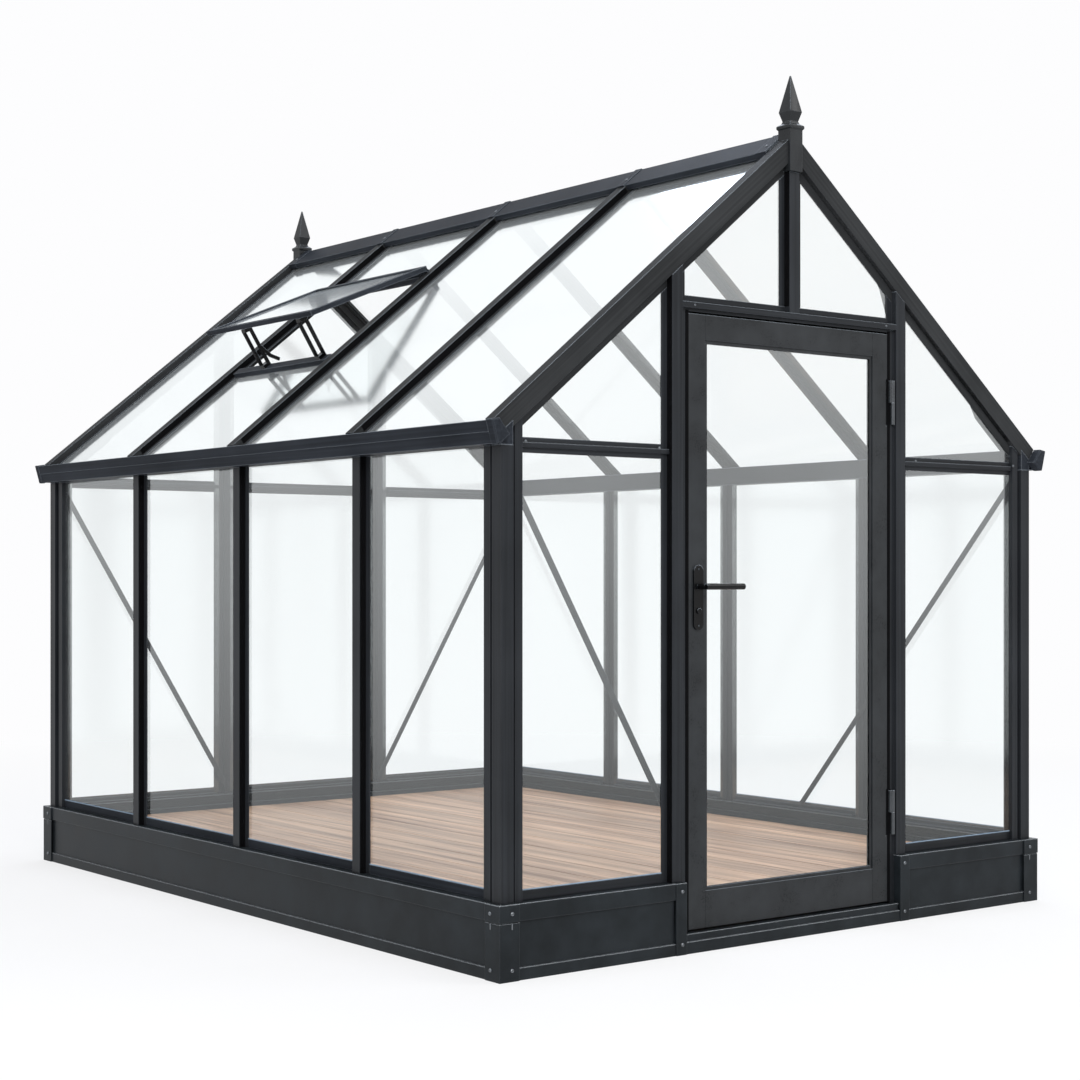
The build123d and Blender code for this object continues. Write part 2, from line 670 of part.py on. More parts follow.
# ---- roof ------------------------------------------------------------------------------------
def rafter_section(flip):
    """Gable rafter: across from the gable plane, then depth behind the roof plane."""
    top = CAP_WIDTH
    face = RAFTER_FACE
    inner = (INNER_FLANGE_WIDTH - WEB_WIDTH) / 2
    wall = CHAMBER_WALL
    body = Pos(top / 2, face / 2) * Rectangle(top, face)
    chamber = Pos(top / 2, face / 2) * Rectangle(top - 2 * wall, face - 2 * wall)
    parts = []
    for reach, depth in ((SHOULDER, CAP_DEPTH), (inner, INNER_FLANGE)):
        middle = depth + FLANGE / 2
        parts.append(Pos(top + reach / 2, middle) * Rectangle(reach, FLANGE))
        parts.append(Pos(middle, face + reach / 2) * Rectangle(FLANGE, reach))
    section = body - chamber + parts
    return mirror(section, about=Plane.YZ) if flip else section


def finial_space(end):
    """Block of air kept free for the finial."""
    half = FINIAL_BLOCK / 2
    y0 = end * (WALL_Y + FINIAL_OUT)
    y1 = end * (WALL_Y + FINIAL_OUT - FINIAL_BLOCK)
    return block(-half, half, y0, y1, RIDGE_HEIGHT - FINIAL_DROP, RIDGE_HEIGHT + FINIAL_DROP)


def make_rafters():
    """Gable rafters, mitred at the ridge and stopped at the finial."""
    solids = []
    length = ROOF_EDGE / math.cos(PITCH)
    ridge_x = RIDGE_REACH * math.cos(PITCH)
    inner_y = WALL_Y - CAP_WIDTH
    beam_x = WALL_X - BEAM_WIDTH
    low = roof_z(PLINTH_WIDTH, BAR_DEPTH)
    beam = [(beam_x, low), (PLINTH_WIDTH, low), (beam_x, roof_z(beam_x, BAR_DEPTH))]
    for end in (-1, 1):
        for side in (-1, 1):
            plane = slope_plane(side, end * WALL_Y, -RAFTER_FACE)
            rafter = extrude(plane * rafter_section(side != end), amount=length + RAFTER_FACE)
            far = -side * 2 * RAFTER_FACE
            rafter -= block(0, far, -PLINTH_LENGTH, PLINTH_LENGTH, 0, 2 * RIDGE_HEIGHT)
            rafter -= block(-ridge_x, ridge_x, -inner_y, inner_y, 0, 2 * RIDGE_HEIGHT)
            rafter -= across(turned(beam, side), -WALL_Y, WALL_Y)
            solids.append(rafter - finial_space(end))
    save("gable_rafters", *solids)


def make_roof_bars():
    """Bars of the two slopes, from the ridge beam to the gutter."""
    length = ROOF_EDGE / math.cos(PITCH) - RIDGE_REACH
    for side, name in ((-1, "roof_bars_left"), (1, "roof_bars_right")):
        bars = []
        for i in range(1, SIDE_BAYS):
            plane = slope_plane(side, -WALL_Y + i * BAY, RIDGE_REACH)
            bars.append(extrude(plane * bar_section(), amount=length))
        save(name, *bars)


def both_sides(points):
    """Half outline given down the slope and behind the roof plane, completed on the other slope."""
    right = [slope_point(1, reach, depth) for reach, depth in points]
    return right + [(-x, z) for x, z in reversed(right)]


def make_ridge():
    """Ridge beam with its glazing slots, and the folded cap over it."""
    length = WALL_Y + FINIAL_OUT - FINIAL_BLOCK
    slot = RIDGE_REACH - RIDGE_SLOT
    lean = math.tan(PITCH)
    outline = [
        (0, 0),
        (RIDGE_REACH, 0),
        (RIDGE_REACH, CAP_DEPTH + FLANGE),
        (slot, CAP_DEPTH + FLANGE),
        (slot, INNER_FLANGE),
        (RIDGE_REACH, INNER_FLANGE),
        (RIDGE_REACH, INNER_FLANGE + FLANGE),
        (RIDGE_ROOT + lean * (INNER_FLANGE + FLANGE), INNER_FLANGE + FLANGE),
    ]
    points = [slope_point(1, reach, depth) for reach, depth in outline]
    root_x = points[-1][0]
    points.append((root_x, RIDGE_HEIGHT - RIDGE_BEAM_HEIGHT))
    full = points + [(-x, z) for x, z in reversed(points[1:])]
    wall = CHAMBER_WALL
    inner_depth = CAP_DEPTH + FLANGE - wall
    chamber = [
        (lean * wall, wall),
        (RIDGE_REACH - wall, wall),
        (RIDGE_REACH - wall, inner_depth),
        (lean * inner_depth, inner_depth),
    ]
    save("ridge_beam", across(full, -length, length) - across(both_sides(chamber), -length, length))
    thick = RIDGE_CAP_SHEET
    drop = RIDGE_CAP_LIP
    cap = [
        (-lean * thick, -thick),
        (RIDGE_CAP_REACH, -thick),
        (RIDGE_CAP_REACH, drop),
        (RIDGE_CAP_REACH - thick, drop),
        (RIDGE_CAP_REACH - thick, 0),
        (0, 0),
    ]
    right = [slope_point(1, reach, depth) for reach, depth in cap]
    outline = right + [(-x, z) for x, z in reversed(right[1:-1])]
    notches = []
    for i in range(1, SIDE_BAYS):
        y = -WALL_Y + i * BAY
        half = CAP_WIDTH / 2 + RIDGE_NOTCH
        notches.append(block(-PLINTH_WIDTH, PLINTH_WIDTH, y - half, y + half, 0, roof_z(0, 0)))
    shell = across(outline, -length, length)
    far = 2 * RIDGE_CAP_REACH
    under = across(both_sides([(0, 0), (far, 0), (far, RIDGE_REACH)]), -length, length)
    for notch in notches:
        shell -= notch & under
    save("ridge_cap", shell)


def make_gutters():
    """Eave beam and gutter in one section, with end caps."""
    z0 = EAVE_HEIGHT
    inner = WALL_X - BEAM_WIDTH
    outer = WALL_X + GUTTER_REACH
    wall = CHAMBER_WALL
    for side, name in ((-1, "gutter_left"), (1, "gutter_right")):
        outer_top = roof_z(WALL_X, BAR_DEPTH)
        beam = [(inner, z0), (WALL_X, z0), (WALL_X, outer_top), (inner, roof_z(inner, BAR_DEPTH))]
        chamber = [
            (inner + wall, z0 + wall),
            (WALL_X - wall, z0 + wall),
            (WALL_X - wall, roof_z(WALL_X - wall, BAR_DEPTH) - wall / math.cos(PITCH)),
            (inner + wall, roof_z(inner + wall, BAR_DEPTH) - wall / math.cos(PITCH)),
        ]
        step_x = outer - GUTTER_LEAN + (GUTTER_LEAN - GUTTER_STEP) * GUTTER_STEP_HEIGHT / GUTTER_HEIGHT
        path = [
            (WALL_X - wall, z0),
            (outer - GUTTER_LEAN, z0),
            (step_x, z0 + GUTTER_STEP_HEIGHT),
            (step_x + GUTTER_STEP, z0 + GUTTER_STEP_HEIGHT),
            (outer, z0 + GUTTER_HEIGHT),
            (outer - GUTTER_LIP, z0 + GUTTER_HEIGHT),
        ]
        solid = across(turned(beam, side), -WALL_Y, WALL_Y)
        solid += across(turned(folded(path, GUTTER_SHEET), side), -WALL_Y, WALL_Y)
        solid -= across(turned(chamber, side), wall - WALL_Y, WALL_Y - wall)
        for end in (-1, 1):
            y = end * (WALL_Y - POST_SIZE / 2)
            solid -= Pos(side * (WALL_X - BEAM_WIDTH / 2), y, z0 + wall / 2) * Cylinder(BEAM_BOLT / 2, wall)
        save(name, solid)
    caps = []
    rafter_corner = slope_point(1, ROOF_EDGE / math.cos(PITCH), RAFTER_FACE)
    low = z0 - END_CAP_LAP
    gutter_foot = outer - GUTTER_LEAN + END_CAP_LAP
    rafter_foot = (RIDGE_HEIGHT - RAFTER_FACE / math.cos(PITCH) - low) / math.tan(PITCH)
    rafter_foot = min(rafter_foot, gutter_foot - END_CAP_SOLE)
    for side in (-1, 1):
        outline = [
            (rafter_foot, low),
            (gutter_foot, low),
            (outer + END_CAP_LAP, z0 + GUTTER_HEIGHT + END_CAP_LAP),
            (ROOF_EDGE, roof_z(ROOF_EDGE, 0)),
            rafter_corner,
        ]
        for end in (-1, 1):
            y0, y1 = sorted((end * WALL_Y, end * (WALL_Y + GUTTER_OVERHANG)))
            cap = across(turned(outline, side), y0, y1)
            face = cap.faces().sort_by(Axis.Y)[-1 if end > 0 else 0]
            caps.append(chamfer(face.edges(), END_CAP_BEVEL))
    save("gutter_end_caps", *caps)


def turned(points, side):
    """Outline moved to the side given by its sign."""
    return [(side * x, z) for x, z in points]


def frustum(levels):
    """Square piece through half sizes at rising heights."""
    solids = []
    for (z0, h0), (z1, h1) in zip(levels, levels[1:]):
        low = Pos(0, 0, z0) * Rectangle(2 * h0, 2 * h0)
        high = Pos(0, 0, z1) * Rectangle(2 * h1, 2 * h1)
        solids.append(loft([low.face(), high.face()], ruled=True))
    return solids[0] + solids[1:]


def make_finials():
    """Square finials over the two ends of the ridge."""
    half = FINIAL_BLOCK / 2
    levels = [(-FINIAL_DROP, half), *FINIAL_PROFILE]
    solids = []
    for end in (-1, 1):
        y = end * (WALL_Y + FINIAL_OUT - half)
        solids.append(Pos(0, y, RIDGE_HEIGHT) * frustum(levels))
    save("finials", *solids)


# ---- glass -----------------------------------------------------------------------------------
def make_side_glass():
    """Panes of the two long walls."""
    z0 = PLINTH_HEIGHT + SILL_SEAT + FIT
    z1 = EAVE_HEIGHT - FIT
    for side, name in ((-1, "glass_left"), (1, "glass_right")):
        x0 = side * (WALL_X - GLASS_OUT)
        x1 = side * (WALL_X - GLASS_IN)
        save(name, *[block(x0, x1, y0, y1, z0, z1) for y0, y1 in side_edges(True)])


def pane(end, points):
    """Gable pane with the given outline in X and Z."""
    y0, y1 = sorted((end * (WALL_Y - GLASS_OUT), end * (WALL_Y - GLASS_IN)))
    return across(points, y0, y1)


def gable_panes(end, edges, lower, upper_base):
    """Lower panes of the chosen bays and sloped panes over each bay."""
    z0 = PLINTH_HEIGHT + SILL_SEAT + FIT
    under = TRANSOM_TOP - TRANSOM_FACE / 2 - TRANSOM_RIB / 2 - FIT
    slope = RAFTER_FACE + FIT
    solids = []
    for i in lower:
        x0, x1 = edges[i]
        solids.append(pane(end, [(x0, z0), (x1, z0), (x1, under), (x0, under)]))
    for (x0, x1), base in upper_base:
        low = (RIDGE_HEIGHT - slope / math.cos(PITCH) - base) / math.tan(PITCH)
        x0 = max(x0, -low)
        x1 = min(x1, low)
        points = [(x0, base), (x1, base)]
        if roof_z(x1, slope) > base + FIT:
            points.append((x1, roof_z(x1, slope)))
        if x0 < 0 < x1:
            points.append((0, roof_z(0, slope)))
        if roof_z(x0, slope) > base + FIT:
            points.append((x0, roof_z(x0, slope)))
        solids.append(pane(end, points) - finial_space(end))
    return solids


def make_gable_glass():
    """Panes of the front and back walls."""
    over = TRANSOM_TOP - TRANSOM_FACE / 2 + TRANSOM_RIB / 2 + FIT
    header = HEADER_BOTTOM + HEADER_FACE / 2 + WEB_WIDTH / 2 + FIT
    front = gable_edges([-JAMB_CENTRE, JAMB_CENTRE], True)
    middle = (front[1][0], -GLASS_BITE), (GLASS_BITE, front[1][1])
    upper = [(front[0], over), (middle[0], header), (middle[1], header), (front[2], over)]
    save("glass_front", *gable_panes(-1, front, (0, 2), upper))
    back = gable_edges([-BACK_BAY / 2, BACK_BAY / 2], True)
    save("glass_back", *gable_panes(1, back, (0, 1, 2), [(edge, over) for edge in back]))


def make_roof_glass():
    """Panes of the two slopes; the vent bay has one above and one below the vent."""
    top = RIDGE_REACH - RIDGE_SLOT + FIT
    foot = (ROOF_EDGE + ROOF_GLASS_OVER) / math.cos(PITCH)
    for side, name in ((-1, "roof_glass_left"), (1, "roof_glass_right")):
        solids = []
        for i, (y0, y1) in enumerate(side_edges(True)):
            runs = [(top, foot)]
            if side == -1 and i == VENT_BAY:
                runs = [(top, VENT_HEAD - CURB_WEB / 2 - FIT), (VENT_FOOT + CURB_WEB / 2 + FIT, foot)]
            for start, stop in runs:
                corners = ((start, GLASS_OUT), (stop, GLASS_OUT), (stop, GLASS_IN), (start, GLASS_IN))
                solids.append(across([slope_point(side, s, d) for s, d in corners], y0, y1))
        save(name, *solids)


# ---- vent ------------------------------------------------------------------------------------
def vent_plane(angle):
    """Plane at the vent's hinge line: X along the house, Y down the sash, Z out of it."""
    tilt = PITCH - math.radians(angle)
    x, z = slope_point(-1, VENT_HEAD, -SASH_LIFT)
    y = -WALL_Y + (VENT_BAY + 0.5) * BAY
    return Plane(origin=(x, y, z), x_dir=(0, 1, 0), z_dir=(-math.sin(tilt), 0, math.cos(tilt)))


def make_vent():
    """Fixed curb bars, and the sash held open on its hinge line."""
    curbs = []
    y0, y1 = side_edges(False)[VENT_BAY]
    half = CURB_FACE / 2
    web = CURB_WEB / 2
    for reach in (VENT_HEAD, VENT_FOOT):
        section = [
            (reach - half, CURB_TOP),
            (reach + half, CURB_TOP),
            (reach + half, CAP_DEPTH + FLANGE),
            (reach + web, CAP_DEPTH + FLANGE),
            (reach + web, INNER_FLANGE + FLANGE),
            (reach - web, INNER_FLANGE + FLANGE),
            (reach - web, CAP_DEPTH + FLANGE),
            (reach - half, CAP_DEPTH + FLANGE),
        ]
        curbs.append(across([slope_point(-1, s, d) for s, d in section], y0, y1))
    upper = VENT_HEAD - web
    lower = VENT_HEAD + web
    upstand = [(upper, 0), (lower, 0), (lower, CURB_TOP), (upper, CURB_TOP)]
    curbs[0] += across([slope_point(-1, s, d) for s, d in upstand], y0, y1)
    save("vent_curb", *curbs)
    plane = vent_plane(VENT_ANGLE)
    width = BAY
    length = VENT_FOOT - VENT_HEAD + SASH_OVER
    centre = Pos(0, length / 2, SASH_DEPTH / 2)
    outer = Box(width, length, SASH_DEPTH)
    hole = Box(width - 2 * SASH_FACE, length - 2 * SASH_FACE, SASH_DEPTH)
    bite = SASH_BITE
    groove = Box(width - 2 * SASH_FACE + 2 * bite, length - 2 * SASH_FACE + 2 * bite, GLASS + 2 * FIT)
    glass = Box(width - 2 * SASH_FACE + 2 * (bite - FIT), length - 2 * SASH_FACE + 2 * (bite - FIT), GLASS)
    bead = Rot(0, 90, 0) * Cylinder(SASH_LIFT, width)
    save("vent_sash", plane * (centre * (outer - hole - groove) + bead))
    save("vent_glass", plane * centre * glass)


def sash_point(run, drop):
    """X and Z of a point down the open sash from its hinge line and below its underside."""
    tilt = PITCH - math.radians(VENT_ANGLE)
    x, z = slope_point(-1, VENT_HEAD, -SASH_LIFT)
    x += drop * math.sin(tilt) - run * math.cos(tilt)
    z -= drop * math.cos(tilt) + run * math.sin(tilt)
    return x, z


def opener(y, bent):
    """Pair of arms from the sash's lower rail to the foot curb; one opener has a bent lever as well."""
    run = VENT_FOOT - VENT_HEAD + SASH_OVER - SASH_FACE / 2
    half = OPENER_PIVOTS + ARM_WIDTH / 2
    high = [sash_point(run + a, b) for a, b in oblong_corners(half, 0, OPENER_BRACKET)]
    low = [slope_point(-1, VENT_FOOT + a, CURB_TOP - b) for a, b in oblong_corners(half, 0, OPENER_BRACKET)]
    brackets = [across(points, y - OPENER_WIDTH / 2, y + OPENER_WIDTH / 2) for points in (high, low)]
    pivot = OPENER_BRACKET - ARM_WIDTH / 2
    arms = []
    for side in (-1, 1):
        start = sash_point(run + side * OPENER_PIVOTS, pivot)
        stop = slope_point(-1, VENT_FOOT + side * OPENER_PIVOTS, CURB_TOP - pivot)
        y0 = y + side * (OPENER_WIDTH - ARM_THICKNESS) / 2 - ARM_THICKNESS / 2
        arms.append(across(bar_outline(start, stop, ARM_WIDTH), y0, y0 + ARM_THICKNESS))
        if bent and side < 0:
            middle = ((start[0] + stop[0]) / 2, (start[1] + stop[1]) / 2)
            bends = [middle] + [(middle[0] + a, middle[1] + b) for a, b in LEVER_BEND]
            for here, there in zip(bends, bends[1:]):
                arms.append(across(bar_outline(here, there, ARM_WIDTH), y0, y0 + ARM_THICKNESS))
    return brackets[0] + brackets[1] + arms


def oblong_corners(half, near, far):
    """Corners of a rectangle centred on the first coordinate."""
    return [(-half, near), (half, near), (half, far), (-half, far)]


def make_openers():
    """Two vent openers, with a stem and foot under the curb for one and a cylinder for the other."""
    middle = -WALL_Y + (VENT_BAY + 0.5) * BAY
    under = INNER_FLANGE + FLANGE
    solids = []
    for share, bent in zip(OPENERS, (True, False)):
        y = middle + share * BAY
        solids.append(opener(y, bent))
        y0 = y - OPENER_WIDTH / 2
        corners = oblong_corners(STEM_WIDTH / 2, under, STEM_DEPTH)
        stem = across([slope_point(-1, VENT_FOOT + a, b) for a, b in corners], y0, y0 + OPENER_WIDTH)
        if bent:
            corners = oblong_corners(STEM_FOOT / 2, STEM_DEPTH, STEM_DEPTH + STEM_FOOT_THICKNESS)
            stem += across([slope_point(-1, VENT_FOOT + a, b) for a, b in corners], y0, y0 + OPENER_WIDTH)
        else:
            x, z = slope_point(-1, VENT_FOOT, STEM_DEPTH)
            z += CYLINDER_LAP - CYLINDER_LENGTH
            stem += Pos(x, y, z + CYLINDER_LENGTH / 2) * Cylinder(CYLINDER_RADIUS, CYLINDER_LENGTH)
            stem += Pos(x, y, z - CYLINDER_TIP / 2) * Cone(CYLINDER_POINT, CYLINDER_ROD, CYLINDER_TIP)
        solids.append(stem)
    save("vent_openers", *solids)


# ---- braces ----------------------------------------------------------------------------------
def bar_outline(start, stop, width):
    """Flat outline of a bar between two points."""
    dx = stop[0] - start[0]
    dy = stop[1] - start[1]
    size = math.hypot(dx, dy)
    nx = -dy / size * width / 2
    ny = dx / size * width / 2
    return [
        (start[0] + nx, start[1] + ny),
        (stop[0] + nx, stop[1] + ny),
        (stop[0] - nx, stop[1] - ny),
        (start[0] - nx, start[1] - ny),
    ]


def make_braces():
    """Flat diagonal braces on the inner faces of the bars."""
    top = EAVE_HEIGHT - BRACE_TOP
    low = PLINTH_HEIGHT + BRACE_LOW
    corner = WALL_X - BRACE_CORNER
    solids = []
    y0 = WALL_Y - BAR_DEPTH - BRACE_THICKNESS
    for side in (-1, 1):
        foot = side * (BACK_BAY / 2 - BRACE_TAIL)
        outline = bar_outline((side * corner, top), (foot, low), BRACE_WIDTH)
        solids.append(across(outline, y0, y0 + BRACE_THICKNESS))
    outline = bar_outline((-corner, top), (BRACE_TAIL - JAMB_CENTRE, FRONT_BRACE_FOOT), BRACE_WIDTH)
    solids.append(across(outline, -y0 - BRACE_THICKNESS, -y0))
    start = (-WALL_Y + BRACE_CORNER, top)
    stop = (-WALL_Y + BAY * SIDE_BRACE_BAYS, low)
    plane = Plane(origin=(WALL_X - BAR_DEPTH - BRACE_THICKNESS, 0, 0), x_dir=(0, 1, 0), z_dir=(1, 0, 0))
    solids.append(prism(bar_outline(start, stop, BRACE_WIDTH), plane, BRACE_THICKNESS))
    save("braces", *solids, *eave_gussets(), *jamb_gussets())


def eave_gussets():
    """Plates on the inner sides of the rafters, at the four eaves."""
    near = WALL_X - POST_SIZE - BRACE_TAIL
    start = near - GUSSET_RUN
    knee = start + GUSSET_KNEE
    hang = RAFTER_FACE + GUSSET_HANG
    corners = ((near, GUSSET_DEPTH), (start, GUSSET_DEPTH), (start, RAFTER_FACE), (knee, hang), (near, hang))
    outline = [(x, roof_z(x, depth)) for x, depth in corners]
    solids = []
    for end in (-1, 1):
        y = end * (WALL_Y - CAP_WIDTH)
        for side in (-1, 1):
            solids.append(across(turned(outline, side), *sorted((y, y - end * BRACE_THICKNESS))))
    return solids


def jamb_gussets():
    """Plates on the webs of the two jambs, under the front rafters."""
    outer = JAMB_CENTRE + WEB_WIDTH / 2
    start = JAMB_CENTRE - GUSSET_JAMB_RUN
    low = roof_z(JAMB_CENTRE, RAFTER_FACE) - GUSSET_JAMB_DROP
    hang = RAFTER_FACE + GUSSET_HANG / 2
    corners = ((outer, GUSSET_DEPTH), (start, GUSSET_DEPTH), (start, RAFTER_FACE), (start + GUSSET_TOE, hang))
    outline = [(x, roof_z(x, depth)) for x, depth in corners]
    outline += [(JAMB_CENTRE - GUSSET_TOE, low), (outer, low)]
    y = -WALL_Y + BAR_DEPTH
    return [across(turned(outline, side), y, y + BRACE_THICKNESS) for side in (-1, 1)]


# ---- door ------------------------------------------------------------------------------------
def make_door():
    """Leaf frame with its pane."""
    y0 = DOOR_FRONT
    y1 = DOOR_BACK
    frame = block(-DOOR_HALF, DOOR_HALF, y0, y1, DOOR_BOTTOM, DOOR_TOP)
    x = DOOR_HALF - STILE
    low = DOOR_BOTTOM + BOTTOM_RAIL
    high = DOOR_TOP - TOP_RAIL
    frame -= block(-x, x, y0, y1, low, high)
    bead_x = x + BEAD_WIDTH
    for front in (y0, y1 - BEAD_DEPTH):
        frame -= block(-bead_x, bead_x, front, front + BEAD_DEPTH, low - BEAD_WIDTH, high + BEAD_WIDTH)
    for side in (-1, 1):
        for z0, z1 in ((DOOR_BOTTOM, low), (high, DOOR_TOP)):
            frame -= block(side * bead_x, side * (bead_x + JOINT), y0, y0 + JOINT, z0, z1)
    for z in HINGE_BOTTOMS:
        over = HINGE_REBATE_OVER
        edge = DOOR_HALF - HINGE_REBATE
        frame -= block(edge, DOOR_HALF, y0, y0 + HINGE_REBATE_DEPTH, z - over, z + HINGE_LENGTH + over)
    middle = (y0 + y1) / 2
    bite = SASH_BITE
    slot = GLASS / 2 + FIT
    frame -= block(-x - bite, x + bite, middle - slot, middle + slot, low - bite, high + bite)
    bore = Plane(origin=(HANDLE_X, y0, HANDLE_Z), z_dir=(0, 1, 0)) * Circle(SPINDLE_BORE)
    frame -= extrude(bore, amount=DOOR_THICKNESS)
    save("door_frame", frame)
    bite = SASH_BITE - FIT
    half = GLASS / 2
    save("door_glass", block(-x - bite, x + bite, middle - half, middle + half, low - bite, high + bite))


def ring(z0, z1, bore):
    """Hinge knuckle on the pin's axis."""
    plane = Plane(origin=(HINGE_AXIS_X, HINGE_AXIS_Y, z0))
    return extrude(plane * (Circle(HINGE_RADIUS) - Circle(bore)), amount=z1 - z0)


def make_hinges():
    """Two hinges of two knuckles: the lower one fixed, with the pin, the upper one on the leaf's edge."""
    half = HINGE_LENGTH / 2
    gap = KNUCKLE_GAP / 2
    fixed = []
    moving = []
    pins = []
    for z in HINGE_BOTTOMS:
        bore = extrude(Plane(origin=(HINGE_AXIS_X, HINGE_AXIS_Y, z)) * Circle(HINGE_PIN), amount=HINGE_LENGTH)
        pins.append(bore)
        z0 = z + half + gap
        z1 = z + HINGE_LENGTH
        plate = block(HINGE_AXIS_X, JAMB_FACE, DOOR_FRONT - HINGE_PLATE, DOOR_FRONT, z, z + half - gap)
        fixed.append((plate + ring(z, z + half - gap, HINGE_PIN)) - bore)
        front = HINGE_AXIS_Y - HINGE_PLATE / 2
        wing = block(DOOR_HALF, DOOR_HALF + HINGE_PLATE, front, DOOR_FRONT + HINGE_EDGE, z0, z1)
        wing += block(DOOR_HALF, HINGE_AXIS_X, front, front + HINGE_PLATE, z0, z1)
        hole_plane = Plane(origin=(HINGE_AXIS_X, HINGE_AXIS_Y, z0))
        hole = extrude(hole_plane * Circle(HINGE_PIN + HINGE_RUN), amount=z1 - z0)
        moving.append((wing + ring(z0, z1, HINGE_PIN + HINGE_RUN)) - hole)
    save("hinge_frame_leaves", *fixed)
    save("hinge_pins", *pins)
    save("hinge_door_leaves", *moving)


def handle_plane(y, outward):
    """Plane on a face of the leaf at the spindle, facing out of it."""
    return Plane(origin=(HANDLE_X, y, HANDLE_Z), x_dir=(-outward, 0, 0), z_dir=(0, outward, 0))


def make_handle():
    """Backplates on both faces, and the two levers on one spindle."""
    plates = []
    levers = []
    for y, outward in ((DOOR_FRONT, -1), (DOOR_BACK, 1)):
        plane = handle_plane(y, outward)
        drop = PLATE_ABOVE - PLATE_HEIGHT / 2
        outline = Pos(0, drop) * RectangleRounded(PLATE_WIDTH, PLATE_HEIGHT, PLATE_ROUND)
        plate = extrude(plane * (outline - Circle(SPINDLE_BORE)), amount=PLATE_THICKNESS)
        key = extrude(plane * Pos(0, -KEY_DROP) * Circle(KEY_RADIUS), amount=PLATE_THICKNESS + KEY_OUT)
        plates.append(plate + key)
        neck = extrude(plane * Circle(NECK_RADIUS), amount=LEVER_OUT)
        neck -= extrude(plane * Circle(LEVER_RADIUS), amount=PLATE_THICKNESS + NECK_GAP)
        y_bar = y + outward * LEVER_OUT
        bar_plane = Plane(origin=(HANDLE_X - LEVER_RADIUS, y_bar, HANDLE_Z), z_dir=(1, 0, 0))
        bar = extrude(bar_plane * Circle(LEVER_RADIUS), amount=LEVER_LENGTH)
        levers.append(neck + bar)
    save("handle_plates", *plates)
    start = DOOR_FRONT - PLATE_THICKNESS - NECK_GAP
    stop = DOOR_BACK + PLATE_THICKNESS + NECK_GAP
    half = SPINDLE / 2
    spindle = block(HANDLE_X - half, HANDLE_X + half, start, stop, HANDLE_Z - half, HANDLE_Z + half)
    save("handle_levers", levers[0] + spindle + levers[1])


def main():
    """Build and write every node."""
    os.makedirs("parts", exist_ok=True)
    make_plinth()
    make_floor()
    make_posts()
    make_sills()
    make_gables()
    make_header()
    make_rafters()
    make_roof_bars()
    make_ridge()
    make_gutters()
    make_finials()
    make_side_glass()
    make_gable_glass()
    make_roof_glass()
    make_vent()
    make_openers()
    make_braces()
    make_door()
    make_hinges()
    make_handle()


main()
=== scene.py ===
"""Finishes, fittings and stage for the glass greenhouse, laid out as an add-on and run as a script."""

import math

import bmesh
import bpy
from bpy.props import FloatProperty, FloatVectorProperty, PointerProperty, StringProperty
from mathutils import Matrix, Vector


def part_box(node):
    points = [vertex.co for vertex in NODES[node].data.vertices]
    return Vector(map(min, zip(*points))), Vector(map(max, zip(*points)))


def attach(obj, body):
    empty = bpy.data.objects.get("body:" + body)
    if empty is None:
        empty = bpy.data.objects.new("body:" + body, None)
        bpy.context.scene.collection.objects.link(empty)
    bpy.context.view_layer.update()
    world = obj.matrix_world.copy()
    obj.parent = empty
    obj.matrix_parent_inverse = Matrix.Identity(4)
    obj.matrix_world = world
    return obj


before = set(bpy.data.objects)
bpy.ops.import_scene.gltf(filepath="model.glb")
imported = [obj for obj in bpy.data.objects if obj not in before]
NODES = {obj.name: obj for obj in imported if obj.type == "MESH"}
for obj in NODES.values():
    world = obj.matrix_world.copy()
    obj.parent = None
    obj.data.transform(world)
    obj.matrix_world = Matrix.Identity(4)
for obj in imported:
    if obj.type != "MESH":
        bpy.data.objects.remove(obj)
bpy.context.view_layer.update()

bl_info = {
    "name": "Glass greenhouse",
    "version": (1, 0, 0),
    "blender": (4, 5, 0),
    "location": "View3D > Sidebar > Greenhouse",
    "description": "Finishes, fittings and stage for a glass greenhouse",
    "category": "Object",
}

MM = 0.001

UPRIGHT_NODES = ("back_bars", "corner_posts", "front_apex_bar", "front_jambs", "side_bars")
PLAIN_NODES = ("door_frame", "finials")
LONG_NODES = (
    "gutter_end_caps",
    "gutter_left",
    "gutter_right",
    "ridge_beam",
    "ridge_cap",
    "side_sills",
    "vent_curb",
    "vent_sash",
)
CROSS_NODES = ("braces", "front_header", "gable_sills", "gable_transoms")
SLOPE_NODES = ("gable_rafters", "roof_bars_left", "roof_bars_right")
PLINTH_NODES = (
    "plinth_back",
    "plinth_corners",
    "plinth_door_posts",
    "plinth_front",
    "plinth_left",
    "plinth_right",
    "threshold",
)
GLASS_NODES = (
    "door_glass",
    "glass_back",
    "glass_front",
    "glass_left",
    "glass_right",
    "roof_glass_left",
    "roof_glass_right",
    "vent_glass",
)
HARDWARE_NODES = ("handle_levers", "handle_plates", "vent_openers")
HINGE_NODES = ("hinge_door_leaves", "hinge_frame_leaves")

